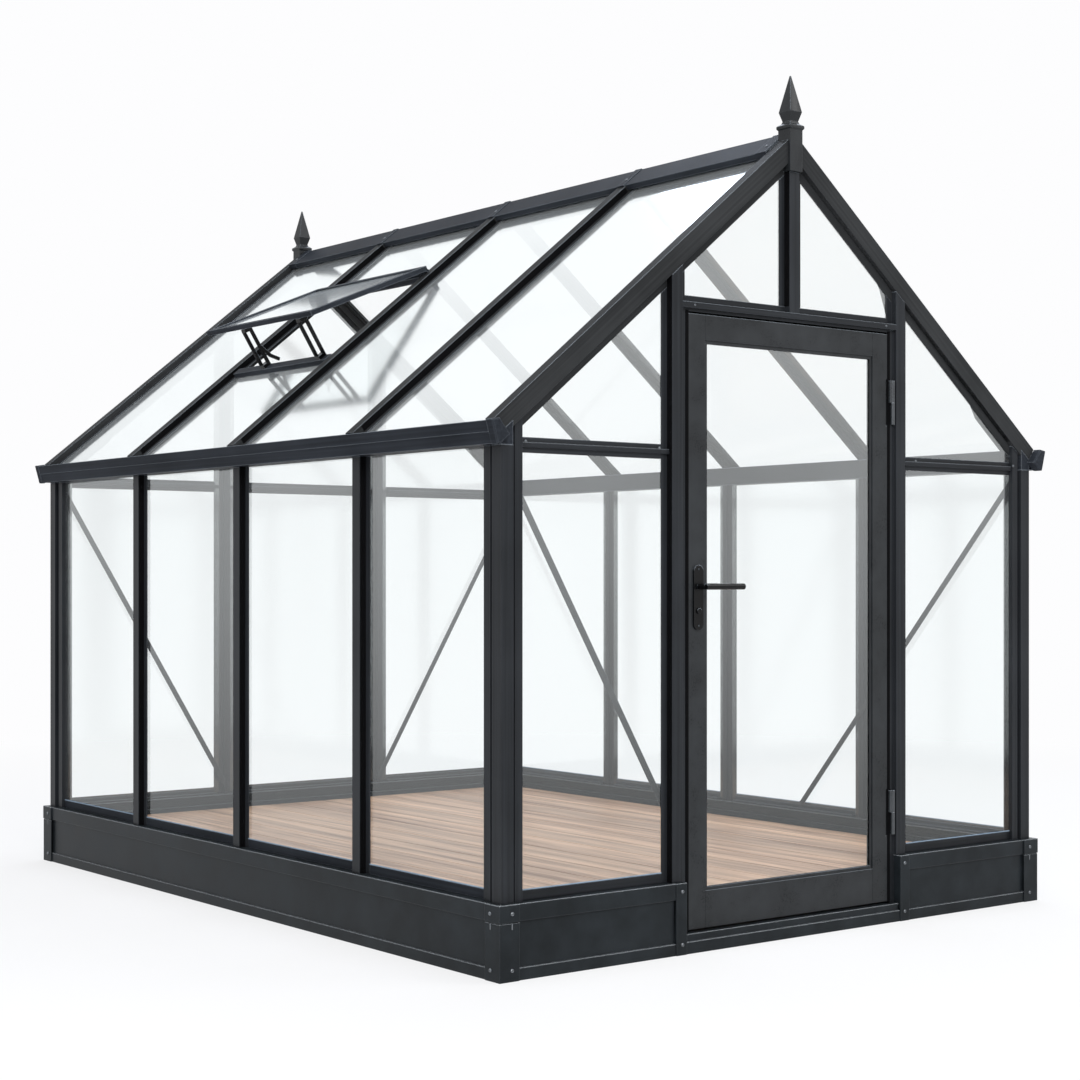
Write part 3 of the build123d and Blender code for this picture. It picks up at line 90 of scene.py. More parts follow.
# Sizes and places taken from the built parts, in millimetres.
WALL_X, WALL_Y = (round(c / MM, 3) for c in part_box("corner_posts")[1][:2])
PLINTH_X, PLINTH_Y, PLINTH_TOP = (round(c / MM, 3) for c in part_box("plinth_corners")[1])
EAVE = round(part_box("side_bars")[1][2] / MM, 3)
RIDGE = round(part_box("ridge_beam")[1][2] / MM, 3)
PITCH = math.radians(39)
BAYS = 4  # along a side wall
BAY = 2 * WALL_Y / BAYS
BACK_BAR = WALL_X / 3  # middle of a back bar
BACK_BAR_TOP = 2018.0
APEX_BAR_TOP = 2300.0
JAMB = 466.0  # middle of a door jamb
JAMB_TOP = 1935.0
CAP = 20.0  # half width of a bar's cap, and its depth
HALF_BAR = 45.0  # half width of a bar over its flanges
POST = 42.0  # width of a corner post's outer faces
SIDE_LIP_END = 88.0  # inner end of a corner post's lip in a side wall, from the corner
GABLE_LIP_END = 77.0
RAFTER_FACE = 56.0  # depth of a rafter's outer face, square to the slope
HEADER_TOP = 1863.0
HEADER_REACH = 421.0
SURROUND = 427.0  # inner edge of the door surround
DOOR_STILE, DOOR_FOOT_RAIL, DOOR_TOP_RAIL = 81.5, 117.0, 83.0
BOARD_PITCH = 150.0  # of the floor boards

# Sizes and places of the fittings, in millimetres.
# Black strips beside caps and posts: rubber gaskets, and painted shade over the caps' sides and flanges.
GASKET_AND_SHADE = ((0, 0), (3.6, 0), (3.6, 1.2), (2.0, 2.4), (1.2, 17.5), (0, 17.5))
GABLE_POST_GASKET_AND_SHADE = ((0.2, 0), (8.6, 0), (8.6, 3.0), (0.2, 3.0))
SIDE_POST_GASKET_AND_SHADE = ((0.2, 0), (15.6, 0), (15.6, 3.0), (0.2, 3.0))
ROOF_BAR_RUN = (100.0, 1400.0)  # of a gasket down the slope, from the ridge
RAFTER_RUN = (90.0, 1330.0)
SILL_STRIP = ((-2.3, 0), (2.3, 0), (2.3, 1.6), (1.4, 2.6), (-1.4, 2.6), (-2.3, 1.6))
SILL_STRIP_DEPTH = 20.9  # of its middle, behind the wall's outer face
DECK_GAP = 5.0
DECK_ARRIS = 2.0
ANGLE_COVER = 66.0  # width of a corner angle's legs
ANGLE_INNER = -2.9  # inner face of a leg, from the plinth's outer face
ANGLE_PROUD = 1.2
COLLAR = 47.0  # height below the plinth's top
COLLAR_PROUD = 2.4
COLLAR_RISE = 0.6
COLLAR_GAP = 1.5
BOLT_INSET = 40.0  # of a plinth bolt, from the corner
BOLT_DROP = 24.0  # of an upper bolt, below the plinth's top
BOLT_FOOT = 30.0
BOLT = (5.5, 3.4)  # radius and height of a head, as for the screws below
DOOR_POST_BOLT = JAMB - 2.0
TAB_DROP = 59.0
TAB = (3.5, 15.0, 1.0)  # width, height and thickness
TAB_ARRIS = 0.5
TRANSOM_SCREW = (4.0, 2.4)
TRANSOM_SCREW_RISE = 8.0
TRANSOM_SCREW_PLACES = (-1010.0, -535.0, 535.0, 1010.0)
HEADER_SCREW = (3.6, 2.2)
HEADER_SCREW_DROP = 9.0
HEADER_SCREW_PLACES = (-400.0, 400.0)
HANDLE_SCREW = (3.2, 1.6)
HANDLE_SCREW_INSET = 12.0
HANDLE_PLATE_FACE = 4.0  # of the plate, behind the front of its boss
STRAP_HALF = 16.0
END_COLLAR = 46.0
STRAP_OUTER = (6.2, 97.2)  # lift of a face off the roof plane, and its reach down the slope
STRAP_INNER = (4.1, 95.1)
STRAP_TURN = 15.0  # depth of the turned edge, behind the roof plane
STRAP_ARRIS = 0.6
STRAP_SCREW = (5.0, 3.0)
STRAP_SCREW_REACH = 62.0
STRAP_SCREW_LIFT = 6.0
PANE_BEAD = ((0, 0), (5.0, 0), (4.2, 2.2), (0, 3.6))
# The door's seals are black strips, partly rubber and partly painted shade in the gaps round the leaf.
JAMB_SEAL_AND_SHADE = ((0, 0), (2.0, 0), (2.0, 12.0), (0, 12.0))
JAMB_SEAL_SET, JAMB_SEAL_RISE = 15.0, 5.0  # behind the leaf's front, and past its top
FACE_SEAL_AND_SHADE = ((0, 0), (12.0, 0), (11.0, 1.2), (0, 1.2))
FACE_SEAL_RISE = 9.0
SEAL_FOOT = 60.0  # height of the lower end of both seals
HEAD_SEAL_AND_SHADE = ((0, 0), (34.0, 0), (34.0, 4.0), (0, 4.0))
HEAD_SEAL_LAP = 20.0  # past the door surround, at each end
HEAD_SEAL_SET, HEAD_SEAL_DROP = 6.0, 14.0  # behind the leaf's back, and below its top

# Outline of a bolt head from its socket to its rim: shares of its radius and of its height.
HEAD_OUTLINE = ((0, 0.45), (0.4, 0.45), (0.46, 1), (0.72, 0.9), (0.93, 0.55), (1, 0))
HEAD_STEPS = 14

# Limits of modelling: distances in millimetres, and angles.
WELD = 0.02
MERGE = 0.005
FLAT = math.radians(0.5)
SHARP = math.radians(40)

# Real sizes behind the patterns, in millimetres unless a name says otherwise.
PEBBLE = 3.0
DIE_LINE = 9.0  # coarser than real ones, to show
RUBBER_BLOOM = 12.0
WOOD_GRAIN = 9.0  # coarser than real grain, to show
WOOD_FIGURE = 60.0
ZINC_CLOUD = 6.0
ARRIS_BAND = 3.4  # width of the painted highlight along an arris
ARRIS_SHELTER = 5.0  # how near a face stands that shades an arris and takes its painted highlight off
TONES_PER_METRE = 3.0  # slow drift of a coat's tone
SMEARS_PER_METRE = 1.6  # on a pane

# Scale of the die lines' noise in each direction, for each run of a bar: the small one draws it out.
# A piece with no run has a broad, even pattern instead.
DIE_STRETCH = {
    "up": (1, 1, 0.012),
    "along": (1, 0.012, 1),
    "across": (0.012, 1, 1),
    "slope": (0.012, 1, 1),
    "": (0.12, 0.12, 0.12),
}
GRAIN_STRETCH = (1.0, 0.022, 1.0)  # the same for wood grain, along the boards

# Reach of the patterns: darkest and lightest tone as gains, and the sway of a coat's roughness.
COAT_TONES = (0.78, 1.4)
COAT_SWAY = 0.07
BLOOM_TONE = 2.0
BOARD_TONES = (0.86, 1.1)

# Glass: share of matt film in what a pane mirrors, and how the film grows with height in metres.
MATT_FILM = 0.15
FILM_HEIGHTS = (0.2, 2.2)
FILM_GAINS = (0.25, 2.1)
UNDERSIDE = 0.3  # share of film and mirror that an underside keeps

# Coats that several materials share, and colours that no setting changes.
SATIN_COAT = {"roughness": 0.36}
MATT_COAT = {"roughness": 0.45, "sheen": 0.02}
# The steel sheet's arris colour is a near-white painted highlight.
SHEET_COAT = {"roughness": 0.36, "arris": "#E8EEF4"}
SCREW_COAT = {"roughness": 0.3, "sheen": 0.6}
SOFTWOOD = ("#8A6A48", "#6B5036")
SKY_FILM = "#FAFEFE"
STUDIO_WHITE = "#FDFDFE"

# Studio floor: its reach and the stretch over which it turns white, in metres, and its share of white
# near the object.
FLOOR_REACH = 60.0
FLOOR_FADE = (2.2, 6.5)
FLOOR_WHITE = 0.72

# Name, place, target, size in metres, power in watts and colour of each studio light.
LIGHTS = (
    ("key", (-4.2, -6.2, 5.6), (0, 0, 1.0), 4.0, 380.0, "#FBFDFF"),
    ("edge", (-7.5, -3.0, 2.4), (0, 0, 1.2), 2.0, 45.0, "#EEF4FF"),
    ("fill", (4.5, -6.0, 6.5), (0, 0, 1.0), 4.0, 170.0, "#FFFFFF"),
    ("sky", (2.2, 1.5, 7.5), (0, 0, 1.5), 5.0, 300.0, "#E4EEFF"),
)


# ---- materials -------------------------------------------------------------------------------
def linear(colour):
    """Linear RGBA of an sRGB hex colour."""
    parts = [int(colour[i : i + 2], 16) / 255 for i in (1, 3, 5)]
    return tuple(c / 12.92 if c <= 0.04045 else ((c + 0.055) / 1.055) ** 2.4 for c in parts) + (1.0,)


def lighter(colour, gain):
    """Linear RGBA of a hex colour made lighter by a gain."""
    r, g, b, a = linear(colour)
    return (min(r * gain, 1), min(g * gain, 1), min(b * gain, 1), a)


def put(tree, kind, inputs=None, **settings):
    """Add a node with its settings; an input is a value or another node's output."""
    node = tree.nodes.new(kind)
    for name, value in settings.items():
        setattr(node, name, value)
    for socket, value in (inputs or {}).items():
        if isinstance(value, bpy.types.NodeSocket):
            tree.links.new(value, node.inputs[socket])
        else:
            node.inputs[socket].default_value = value
    return node


def new_material(name):
    """Empty material, its node tree and its Object coordinates."""
    material = bpy.data.materials.new(name)
    material.use_nodes = True
    tree = material.node_tree
    tree.nodes.clear()
    return material, tree, put(tree, "ShaderNodeTexCoord").outputs["Object"]


# arris is the colour of a painted highlight along the arrises; under is its share where they don't face up.
def powder_coat(name, colour, roughness, run="", sheen=0.12, arris="#9CA4AC", under=0.05):
    """Polyester powder coat: baked paint whose skin is faintly pebbled, so highlights are soft and broken.

    Over an extrusion, the faint lines of the die run along the bar: up, along, across or down the roof.
    """
    material, tree, place = new_material(name)
    pebble = put(tree, "ShaderNodeTexNoise", {"Vector": place, "Scale": 1 / (PEBBLE * MM), "Detail": 2.0})
    lines = die_lines(tree, place, run)
    drift = put(tree, "ShaderNodeTexNoise", {"Vector": place, "Scale": TONES_PER_METRE, "Detail": 3.0})
    mixed = put(tree, "ShaderNodeMath", {0: lines, 1: drift.outputs["Fac"]}, operation="ADD")
    level = put(tree, "ShaderNodeMapRange", {"Value": mixed.outputs[0], "From Min": 0.75, "From Max": 1.25})
    dark, light = (lighter(colour, gain) for gain in COAT_TONES)
    tones = {"Factor": level.outputs["Result"], "A": dark, "B": light}
    tone = put(tree, "ShaderNodeMix", tones, data_type="RGBA")
    spread = put(tree, "ShaderNodeMath", {0: lines, 1: pebble.outputs["Fac"]}, operation="ADD")
    rough = put(
        tree,
        "ShaderNodeMapRange",
        {
            "Value": spread.outputs[0],
            "From Min": 0.7,
            "From Max": 1.3,
            "To Min": roughness - COAT_SWAY,
            "To Max": roughness + COAT_SWAY,
        },
    )
    relief = {"Height": spread.outputs[0], "Strength": 0.08, "Distance": 0.4 * MM}
    bump = put(tree, "ShaderNodeBump", relief)
    # Painted highlight along the arrises, over the coat's own tone.
    coats = {"Factor": painted_arris_highlight(tree, under), "A": tone.outputs["Result"], "B": linear(arris)}
    edged = put(tree, "ShaderNodeMix", coats, data_type="RGBA")
    shader = put(
        tree,
        "ShaderNodeBsdfPrincipled",
        {
            "Base Color": edged.outputs["Result"],
            "Roughness": rough.outputs["Result"],
            "Normal": bump.outputs["Normal"],
            "IOR": 1.5,
            "Specular IOR Level": sheen,
        },
    )
    put(tree, "ShaderNodeOutputMaterial", {"Surface": shader.outputs["BSDF"]})
    return material


def painted_arris_highlight(tree, under):
    """Share of a painted highlight on outer arrises, less where they don't face up or stand in shade."""
    rounded = put(tree, "ShaderNodeBevel", {"Radius": ARRIS_BAND * MM}, samples=4)
    facing = put(tree, "ShaderNodeNewGeometry").outputs["Normal"]
    turn = put(tree, "ShaderNodeVectorMath", {0: rounded.outputs[0], 1: facing}, operation="DOT_PRODUCT")
    edge = put(
        tree,
        "ShaderNodeMapRange",
        {"Value": turn.outputs["Value"], "From Min": 0.995, "From Max": 0.8, "To Min": 0.0, "To Max": 0.9},
    )
    # No painted highlight where a near face shades the arris.
    shelter = put(
        tree, "ShaderNodeAmbientOcclusion", {"Distance": ARRIS_SHELTER * MM}, samples=4, only_local=True
    )
    open_side = put(
        tree, "ShaderNodeMapRange", {"Value": shelter.outputs["AO"], "From Min": 0.82, "From Max": 0.97}
    )
    unshaded_arris = {0: edge.outputs["Result"], 1: open_side.outputs["Result"]}
    share = put(tree, "ShaderNodeMath", unshaded_arris, operation="MULTIPLY")
    # Less painted highlight where the arris turns away from the light above.
    lean = put(tree, "ShaderNodeSeparateXYZ", {"Vector": rounded.outputs[0]})
    upward = put(
        tree,
        "ShaderNodeMapRange",
        {"Value": lean.outputs["Z"], "From Min": 0.05, "From Max": 0.4, "To Min": under},
    )
    highlight_share = {0: share.outputs[0], 1: upward.outputs["Result"]}
    return put(tree, "ShaderNodeMath", highlight_share, operation="MULTIPLY").outputs[0]


def die_lines(tree, place, run):
    """Noise drawn out along a bar, for the lines that the die leaves on an extrusion."""
    vector = place
    if run == "slope":
        split = put(tree, "ShaderNodeSeparateXYZ", {"Vector": place})
        outward = put(tree, "ShaderNodeMath", {0: split.outputs["X"]}, operation="ABSOLUTE")
        both_slopes = {"X": outward.outputs[0], "Y": split.outputs["Y"], "Z": split.outputs["Z"]}
        folded = put(tree, "ShaderNodeCombineXYZ", both_slopes).outputs[0]
        level = {"Vector": folded, "Angle": -PITCH}
        vector = put(tree, "ShaderNodeVectorRotate", level, rotation_type="Y_AXIS").outputs[0]
    drawn = put(tree, "ShaderNodeMapping", {"Vector": vector, "Scale": DIE_STRETCH[run]}).outputs[0]
    noise = put(tree, "ShaderNodeTexNoise", {"Vector": drawn, "Scale": 1 / (DIE_LINE * MM), "Detail": 3.0})
    return noise.outputs["Fac"]


def float_glass(name, tint, film, dust):
    """Toughened float glass: clear, under a pale film of sky that grows upwards, with dust on upper faces.

    Only the outer side of a face shows them, and an underside less than the rest.
    """
    material, tree, place = new_material(name)
    clear = put(tree, "ShaderNodeBsdfTransparent", {"Color": linear(tint)})
    mirror = put(tree, "ShaderNodeBsdfGlossy", {"Color": linear(SKY_FILM), "Roughness": 0.1})
    matt = put(tree, "ShaderNodeBsdfDiffuse", {"Color": linear(SKY_FILM)})
    sheen = put(tree, "ShaderNodeMixShader", {0: MATT_FILM, 1: mirror.outputs[0], 2: matt.outputs[0]})
    edge = put(tree, "ShaderNodeFresnel", {"IOR": 1.45})
    smear = put(tree, "ShaderNodeTexNoise", {"Vector": place, "Scale": SMEARS_PER_METRE, "Detail": 2.0})
    patchy = put(
        tree,
        "ShaderNodeMapRange",
        {"Value": smear.outputs["Fac"], "To Min": film * 0.8, "To Max": film * 1.2},
    )
    stand = put(tree, "ShaderNodeSeparateXYZ", {"Vector": place})
    (foot, head), (least, most) = FILM_HEIGHTS, FILM_GAINS
    height = put(
        tree,
        "ShaderNodeMapRange",
        {"Value": stand.outputs["Z"], "From Min": foot, "From Max": head, "To Min": least, "To Max": most},
    )
    rising = {0: patchy.outputs["Result"], 1: height.outputs["Result"]}
    haze = put(tree, "ShaderNodeMath", rising, operation="MULTIPLY")
    geometry = put(tree, "ShaderNodeNewGeometry")
    lean = put(tree, "ShaderNodeSeparateXYZ", {"Vector": geometry.outputs["Normal"]})
    laid = put(
        tree,
        "ShaderNodeMapRange",
        {"Value": lean.outputs["Z"], "From Min": 0.1, "From Max": 0.7, "To Max": dust},
    )
    dusty = {0: haze.outputs[0], 1: laid.outputs["Result"]}
    film_share = put(tree, "ShaderNodeMath", dusty, operation="ADD")
    seen = {0: edge.outputs["Fac"], 1: film_share.outputs[0]}
    whole = put(tree, "ShaderNodeMath", seen, operation="ADD", use_clamp=True)
    outside = {0: 1.0, 1: geometry.outputs["Backfacing"]}
    entering = put(tree, "ShaderNodeMath", outside, operation="SUBTRACT")
    clean = put(
        tree,
        "ShaderNodeMapRange",
        {"Value": lean.outputs["Z"], "From Min": -0.6, "From Max": -0.1, "To Min": UNDERSIDE},
    )
    facing = {0: entering.outputs[0], 1: clean.outputs["Result"]}
    faced = put(tree, "ShaderNodeMath", facing, operation="MULTIPLY")
    share = put(tree, "ShaderNodeMath", {0: whole.outputs[0], 1: faced.outputs[0]}, operation="MULTIPLY")
    both = put(tree, "ShaderNodeMixShader", {0: share.outputs[0], 1: clear.outputs[0], 2: sheen.outputs[0]})
    put(tree, "ShaderNodeOutputMaterial", {"Surface": both.outputs[0]})
    return material


def rubber(name, colour):
    """EPDM rubber of gaskets and strips: dull, with a dry bloom that breaks up its tone."""
    material, tree, place = new_material(name)
    spots = {"Vector": place, "Scale": 1 / (RUBBER_BLOOM * MM), "Detail": 3.0}
    bloom = put(tree, "ShaderNodeTexNoise", spots)
    tones = {"Factor": bloom.outputs["Fac"], "A": linear(colour), "B": lighter(colour, BLOOM_TONE)}
    tone = put(tree, "ShaderNodeMix", tones, data_type="RGBA")
    shader = put(
        tree,
        "ShaderNodeBsdfPrincipled",
        {"Base Color": tone.outputs["Result"], "Roughness": 0.8, "IOR": 1.5, "Specular IOR Level": 0.04},
    )
    put(tree, "ShaderNodeOutputMaterial", {"Surface": shader.outputs["BSDF"]})
    return material


def decking(name, light, dark):
    """Oiled hardwood boards: long grain streaks, a tone of its own for each board, satin oil."""
    material, tree, place = new_material(name)
    stretched = put(tree, "ShaderNodeMapping", {"Vector": place, "Scale": GRAIN_STRETCH}).outputs[0]
    board = put(tree, "ShaderNodeSeparateXYZ", {"Vector": place})
    pitches = {0: board.outputs["X"], 1: 1 / (BOARD_PITCH * MM)}
    count = put(tree, "ShaderNodeMath", pitches, operation="MULTIPLY")
    shifted = put(tree, "ShaderNodeMath", {0: count.outputs[0], 1: 0.5}, operation="ADD")
    index = put(tree, "ShaderNodeMath", {0: shifted.outputs[0]}, operation="FLOOR")
    own = put(tree, "ShaderNodeTexWhiteNoise", {"W": index.outputs[0]}, noise_dimensions="1D")
    streaks = {"Vector": stretched, "Scale": 1 / (WOOD_GRAIN * MM), "Detail": 4.0, "Roughness": 0.65}
    grain = put(tree, "ShaderNodeTexNoise", streaks)
    waves = {"Vector": stretched, "Scale": 1 / (WOOD_FIGURE * MM), "Detail": 3.0, "Distortion": 0.2}
    figure = put(tree, "ShaderNodeTexNoise", waves)
    both = {0: grain.outputs["Fac"], 1: figure.outputs["Fac"]}
    blend = put(tree, "ShaderNodeMath", both, operation="ADD")
    streak = put(tree, "ShaderNodeMapRange", {"Value": blend.outputs[0], "From Min": 0.74, "From Max": 1.22})
    tones = {"Factor": streak.outputs["Result"], "A": linear(dark), "B": linear(light)}
    base = put(tree, "ShaderNodeMix", tones, data_type="RGBA")
    low, high = BOARD_TONES
    spread = {"Value": own.outputs["Value"], "To Min": low, "To Max": high}
    board_tone = put(tree, "ShaderNodeMapRange", spread)
    toning = {"Factor": 1.0, "A": base.outputs["Result"], "B": board_tone.outputs["Result"]}
    toned = put(tree, "ShaderNodeMix", toning, data_type="RGBA", blend_type="MULTIPLY")
    relief = {"Height": grain.outputs["Fac"], "Strength": 0.25, "Distance": 0.6 * MM}
    bump = put(tree, "ShaderNodeBump", relief)
    shader = put(
        tree,
        "ShaderNodeBsdfPrincipled",
        {
            "Base Color": toned.outputs["Result"],
            "Roughness": 0.5,
            "Normal": bump.outputs["Normal"],
            "IOR": 1.5,
        },
    )
    put(tree, "ShaderNodeOutputMaterial", {"Surface": shader.outputs["BSDF"]})
    return material


def zinc_plate(name, colour):
    """Zinc-plated steel of pins and screws: metal with a slightly cloudy shine."""
    material, tree, place = new_material(name)
    cloud = put(tree, "ShaderNodeTexNoise", {"Vector": place, "Scale": 1 / (ZINC_CLOUD * MM), "Detail": 2.0})
    rough = put(tree, "ShaderNodeMapRange", {"Value": cloud.outputs["Fac"], "To Min": 0.24, "To Max": 0.42})
    shader = put(
        tree,
        "ShaderNodeBsdfPrincipled",
        {"Base Color": linear(colour), "Metallic": 1.0, "Roughness": rough.outputs["Result"]},
    )
    put(tree, "ShaderNodeOutputMaterial", {"Surface": shader.outputs["BSDF"]})
    return material


def paint(names, material):
    """Give CAD nodes one material in every slot."""
    for name in names:
        for slot in NODES[name].material_slots:
            slot.link = "OBJECT"
            slot.material = material


def soften(names, width):
    """Round the arrises of CAD nodes a little, as extruded and folded metal is."""
    for name in names:
        piece = NODES[name]
        weld = piece.modifiers.new("weld", "WELD")
        weld.merge_threshold = WELD * MM
        flat = piece.modifiers.new("flat", "DECIMATE")
        flat.decimate_type = "DISSOLVE"
        flat.angle_limit = FLAT
        soften_piece(piece, width)


def soften_piece(piece, width):
    """Round the arrises of one piece."""
    arris = piece.modifiers.new("arris", "BEVEL")
    arris.width = width * MM
    arris.segments = 2
    arris.limit_method = "ANGLE"
    arris.angle_limit = SHARP
    arris.use_clamp_overlap = True


class GREENHOUSE_OT_finishes(bpy.types.Operator):
    """Give every built part its finish"""

    bl_idname = "greenhouse.finishes"
    bl_label = "Finishes"

    def execute(self, context):
        finish = context.scene.greenhouse_finish
        # roof is a lighter, bluish copy of the frame's coat: the blue is a painted sky reflection on upward
        # faces.
        coat, roof = finish.frame_colour, finish.roof_colour_painted_sky
        paint(UPRIGHT_NODES, powder_coat("powder_coated_uprights", coat, **SATIN_COAT, run="up"))
        # The long bars keep much of the painted highlight on arrises that don't face up.
        paint(LONG_NODES, powder_coat("powder_coated_long_bars", roof, **MATT_COAT, run="along", under=0.6))
        paint(CROSS_NODES, powder_coat("powder_coated_cross_bars", coat, **SATIN_COAT, run="across"))
        # The sloping bars take a lighter copy of the frame's coat: painted light in place of the sheen they
        # lack.
        rafters = powder_coat("powder_coated_sloping_bars", finish.rafter_colour_painted_light, **MATT_COAT, run="slope")
        paint(SLOPE_NODES, rafters)
        paint(PLINTH_NODES, powder_coat("powder_coated_steel_sheet", finish.plinth_colour, **SHEET_COAT))
        leaf = powder_coat("powder_coated_door_and_castings", finish.door_colour, roughness=0.32, sheen=0.2)
        paint(PLAIN_NODES, leaf)
        zinc = powder_coat("satin_black_cast_zinc", finish.hardware_colour, roughness=0.22, sheen=0.2)
        paint(HARDWARE_NODES, zinc)
        paint(HINGE_NODES, powder_coat("grey_cast_zinc", finish.hinge_colour, roughness=0.3, sheen=0.5))
        panes = float_glass("toughened_float_glass", finish.glass_tint, finish.glass_film, finish.dust)
        paint(GLASS_NODES, panes)
        boards = decking("oiled_hardwood_decking", finish.deck_light, finish.deck_dark)
        paint(("floor_boards",), boards)
        paint(("floor_joists",), decking("treated_softwood", *SOFTWOOD))
        paint(("hinge_pins",), zinc_plate("zinc_plated_pins", finish.steel_colour))
        for names in (UPRIGHT_NODES, LONG_NODES, CROSS_NODES, SLOPE_NODES, PLINTH_NODES, PLAIN_NODES):
            soften(names, finish.arris)
        return {"FINISHED"}


# ---- fittings --------------------------------------------------------------------------------
def settle(form, name, material, body="frame"):
    """Finished piece of a form, in its place, riding on a body."""
    bmesh.ops.remove_doubles(form, verts=form.verts, dist=MERGE * MM)
    bmesh.ops.recalc_face_normals(form, faces=form.faces)
    mesh = bpy.data.meshes.new(name)
    form.to_mesh(mesh)
    form.free()
    mesh.materials.append(material)
    piece = bpy.data.objects.new(name, mesh)
    bpy.context.scene.collection.objects.link(piece)
    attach(piece, body)
    return piece


def draw_out(form, points, run):
    """Prism of a closed outline drawn out along a run, both in millimetres."""
    face = form.faces.new([form.verts.new(Vector(point) * MM) for point in points])
    drawn = bmesh.ops.extrude_face_region(form, geom=[face])["geom"]
    ends = [v for v in drawn if isinstance(v, bmesh.types.BMVert)]
    bmesh.ops.translate(form, vec=Vector(run) * MM, verts=ends)


def strip(form, section, start, stop, outward):
    """Strip between two points, in millimetres; its section is measured across the run and outward."""
    start = Vector(start)
    run = Vector(stop) - start
    rise = Vector(outward).normalized()
    side = rise.cross(run).normalized()
    draw_out(form, [start + side * a + rise * b for a, b in section], run)


def break_arrises(form, edges, width, segments):
    """Bevel some edges of a form by a width in millimetres."""
    bmesh.ops.bevel(
        form,
        geom=edges,
        affect="EDGES",
        offset=width * MM,
        segments=segments,
        profile=0.5,
        material=-1,
        clamp_overlap=True,
    )


def bolt_head(form, place, outward, radius, height):
    """Low domed head with a socket in it, standing on a face at a place in millimetres."""
    turn = Vector(outward).to_track_quat("Z", "Y").to_matrix().to_4x4()
    where = Matrix.Translation(Vector(place) * MM) @ turn @ Matrix.Scale(MM, 4)
    verts = [form.verts.new(where @ Vector((radius * r, 0, height * h))) for r, h in HEAD_OUTLINE]
    edges = [form.edges.new(pair) for pair in zip(verts, verts[1:])]
    axis = where.to_3x3() @ Vector((0, 0, 1))
    bmesh.ops.spin(
        form,
        geom=verts + edges,
        cent=Vector(place) * MM,
        axis=axis.normalized(),
        angle=math.tau,
        steps=HEAD_STEPS,
        use_merge=True,
    )


def corner_cover(form, x, y, proud, low, high):
    """Folded angle over a corner of the plinth, standing a little proud of it, between two heights."""
    reach, inner = ANGLE_COVER, ANGLE_INNER
    outline = [(proud, proud), (-reach, proud), (-reach, inner)]
    outline += [(inner, inner), (inner, -reach), (proud, -reach)]
    points = [(x * (PLINTH_X + a), y * (PLINTH_Y + b), low) for a, b in outline]
    draw_out(form, points, (0, 0, high - low))


def washer_plate(form, place, outward, width, height, thickness):
    """Upright flat plate with softened edges, standing on a face."""
    rise = Vector(outward).normalized()
    tall = Vector((0, 0, 1))
    wide = tall.cross(rise)
    basis = Matrix((wide * width, tall * height, rise * thickness)).transposed().to_4x4()
    middle = Vector(place) + rise * thickness / 2
    where = Matrix.Translation(middle * MM) @ Matrix.Scale(MM, 4) @ basis
    cube = bmesh.ops.create_cube(form, size=1.0, matrix=where)["verts"]
    break_arrises(form, list({e for v in cube for e in v.link_edges}), TAB_ARRIS, segments=2)


def on_roof(side, reach, depth, y):
    """Point in millimetres at a distance down the slope and a depth behind the outer roof plane."""
    x = reach * math.cos(PITCH) - depth * math.sin(PITCH)
    return (side * x, y, RIDGE - reach * math.sin(PITCH) - depth * math.cos(PITCH))


def roof_normal(side):
    """Direction out of a roof slope."""
    return (side * math.sin(PITCH), 0, math.cos(PITCH))


def mirrored(section):
    """Section turned over to the other side of the run."""
    return tuple((-a, b) for a, b in section)


def moved(section, shift):
    """Section moved across the run."""
    return tuple((a + shift, b) for a, b in section)


def cap_gaskets_and_shade(form, start, stop, outward):
    """Pair of black strips, gasket and painted shade, between a bar's cap and its flanges, along its middle
    line.
    """
    strip(form, moved(GASKET_AND_SHADE, CAP), start, stop, outward)
    strip(form, mirrored(moved(GASKET_AND_SHADE, CAP)), start, stop, outward)


def side_bar_gaskets_and_shade(form):
    """Black gaskets and painted shade beside the bars in both side walls."""
    for side in (-1, 1):
        for i in range(1, BAYS):
            place = (side * (WALL_X - CAP), -WALL_Y + i * BAY)
            cap_gaskets_and_shade(form, (*place, PLINTH_TOP), (*place, EAVE), (side, 0, 0))


def gable_bar_gaskets_and_shade(form):
    """Black gaskets and painted shade beside the back bars, the door jambs, the apex bar and the header."""
    back, front = WALL_Y - CAP, CAP - WALL_Y
    for x in (-BACK_BAR, BACK_BAR):
        cap_gaskets_and_shade(form, (x, back, PLINTH_TOP), (x, back, BACK_BAR_TOP), (0, 1, 0))
    for side in (-1, 1):
        section = moved(GASKET_AND_SHADE, CAP) if side < 0 else mirrored(moved(GASKET_AND_SHADE, CAP))
        start, stop = (side * JAMB, front, PLINTH_TOP), (side * JAMB, front, JAMB_TOP)
        strip(form, section, start, stop, (0, -1, 0))
    cap_gaskets_and_shade(form, (0, front, HEADER_TOP + CAP), (0, front, APEX_BAR_TOP), (0, -1, 0))
    start, stop = (-HEADER_REACH, front, HEADER_TOP), (HEADER_REACH, front, HEADER_TOP)
    strip(form, GASKET_AND_SHADE, start, stop, (0, -1, 0))


def roof_bar_gaskets_and_shade(form):
    """Black gaskets and painted shade beside the roof bars, and one under the outer face of each rafter."""
    for side in (-1, 1):
        for i in range(1, BAYS):
            ends = [on_roof(side, reach, CAP, -WALL_Y + i * BAY) for reach in ROOF_BAR_RUN]
            cap_gaskets_and_shade(form, *ends, roof_normal(side))
        for end in (-1, 1):
            ends = [on_roof(side, reach, RAFTER_FACE, end * (WALL_Y - CAP)) for reach in RAFTER_RUN]
            section = GASKET_AND_SHADE if side * end < 0 else mirrored(GASKET_AND_SHADE)
            strip(form, section, *ends, (0, end, 0))


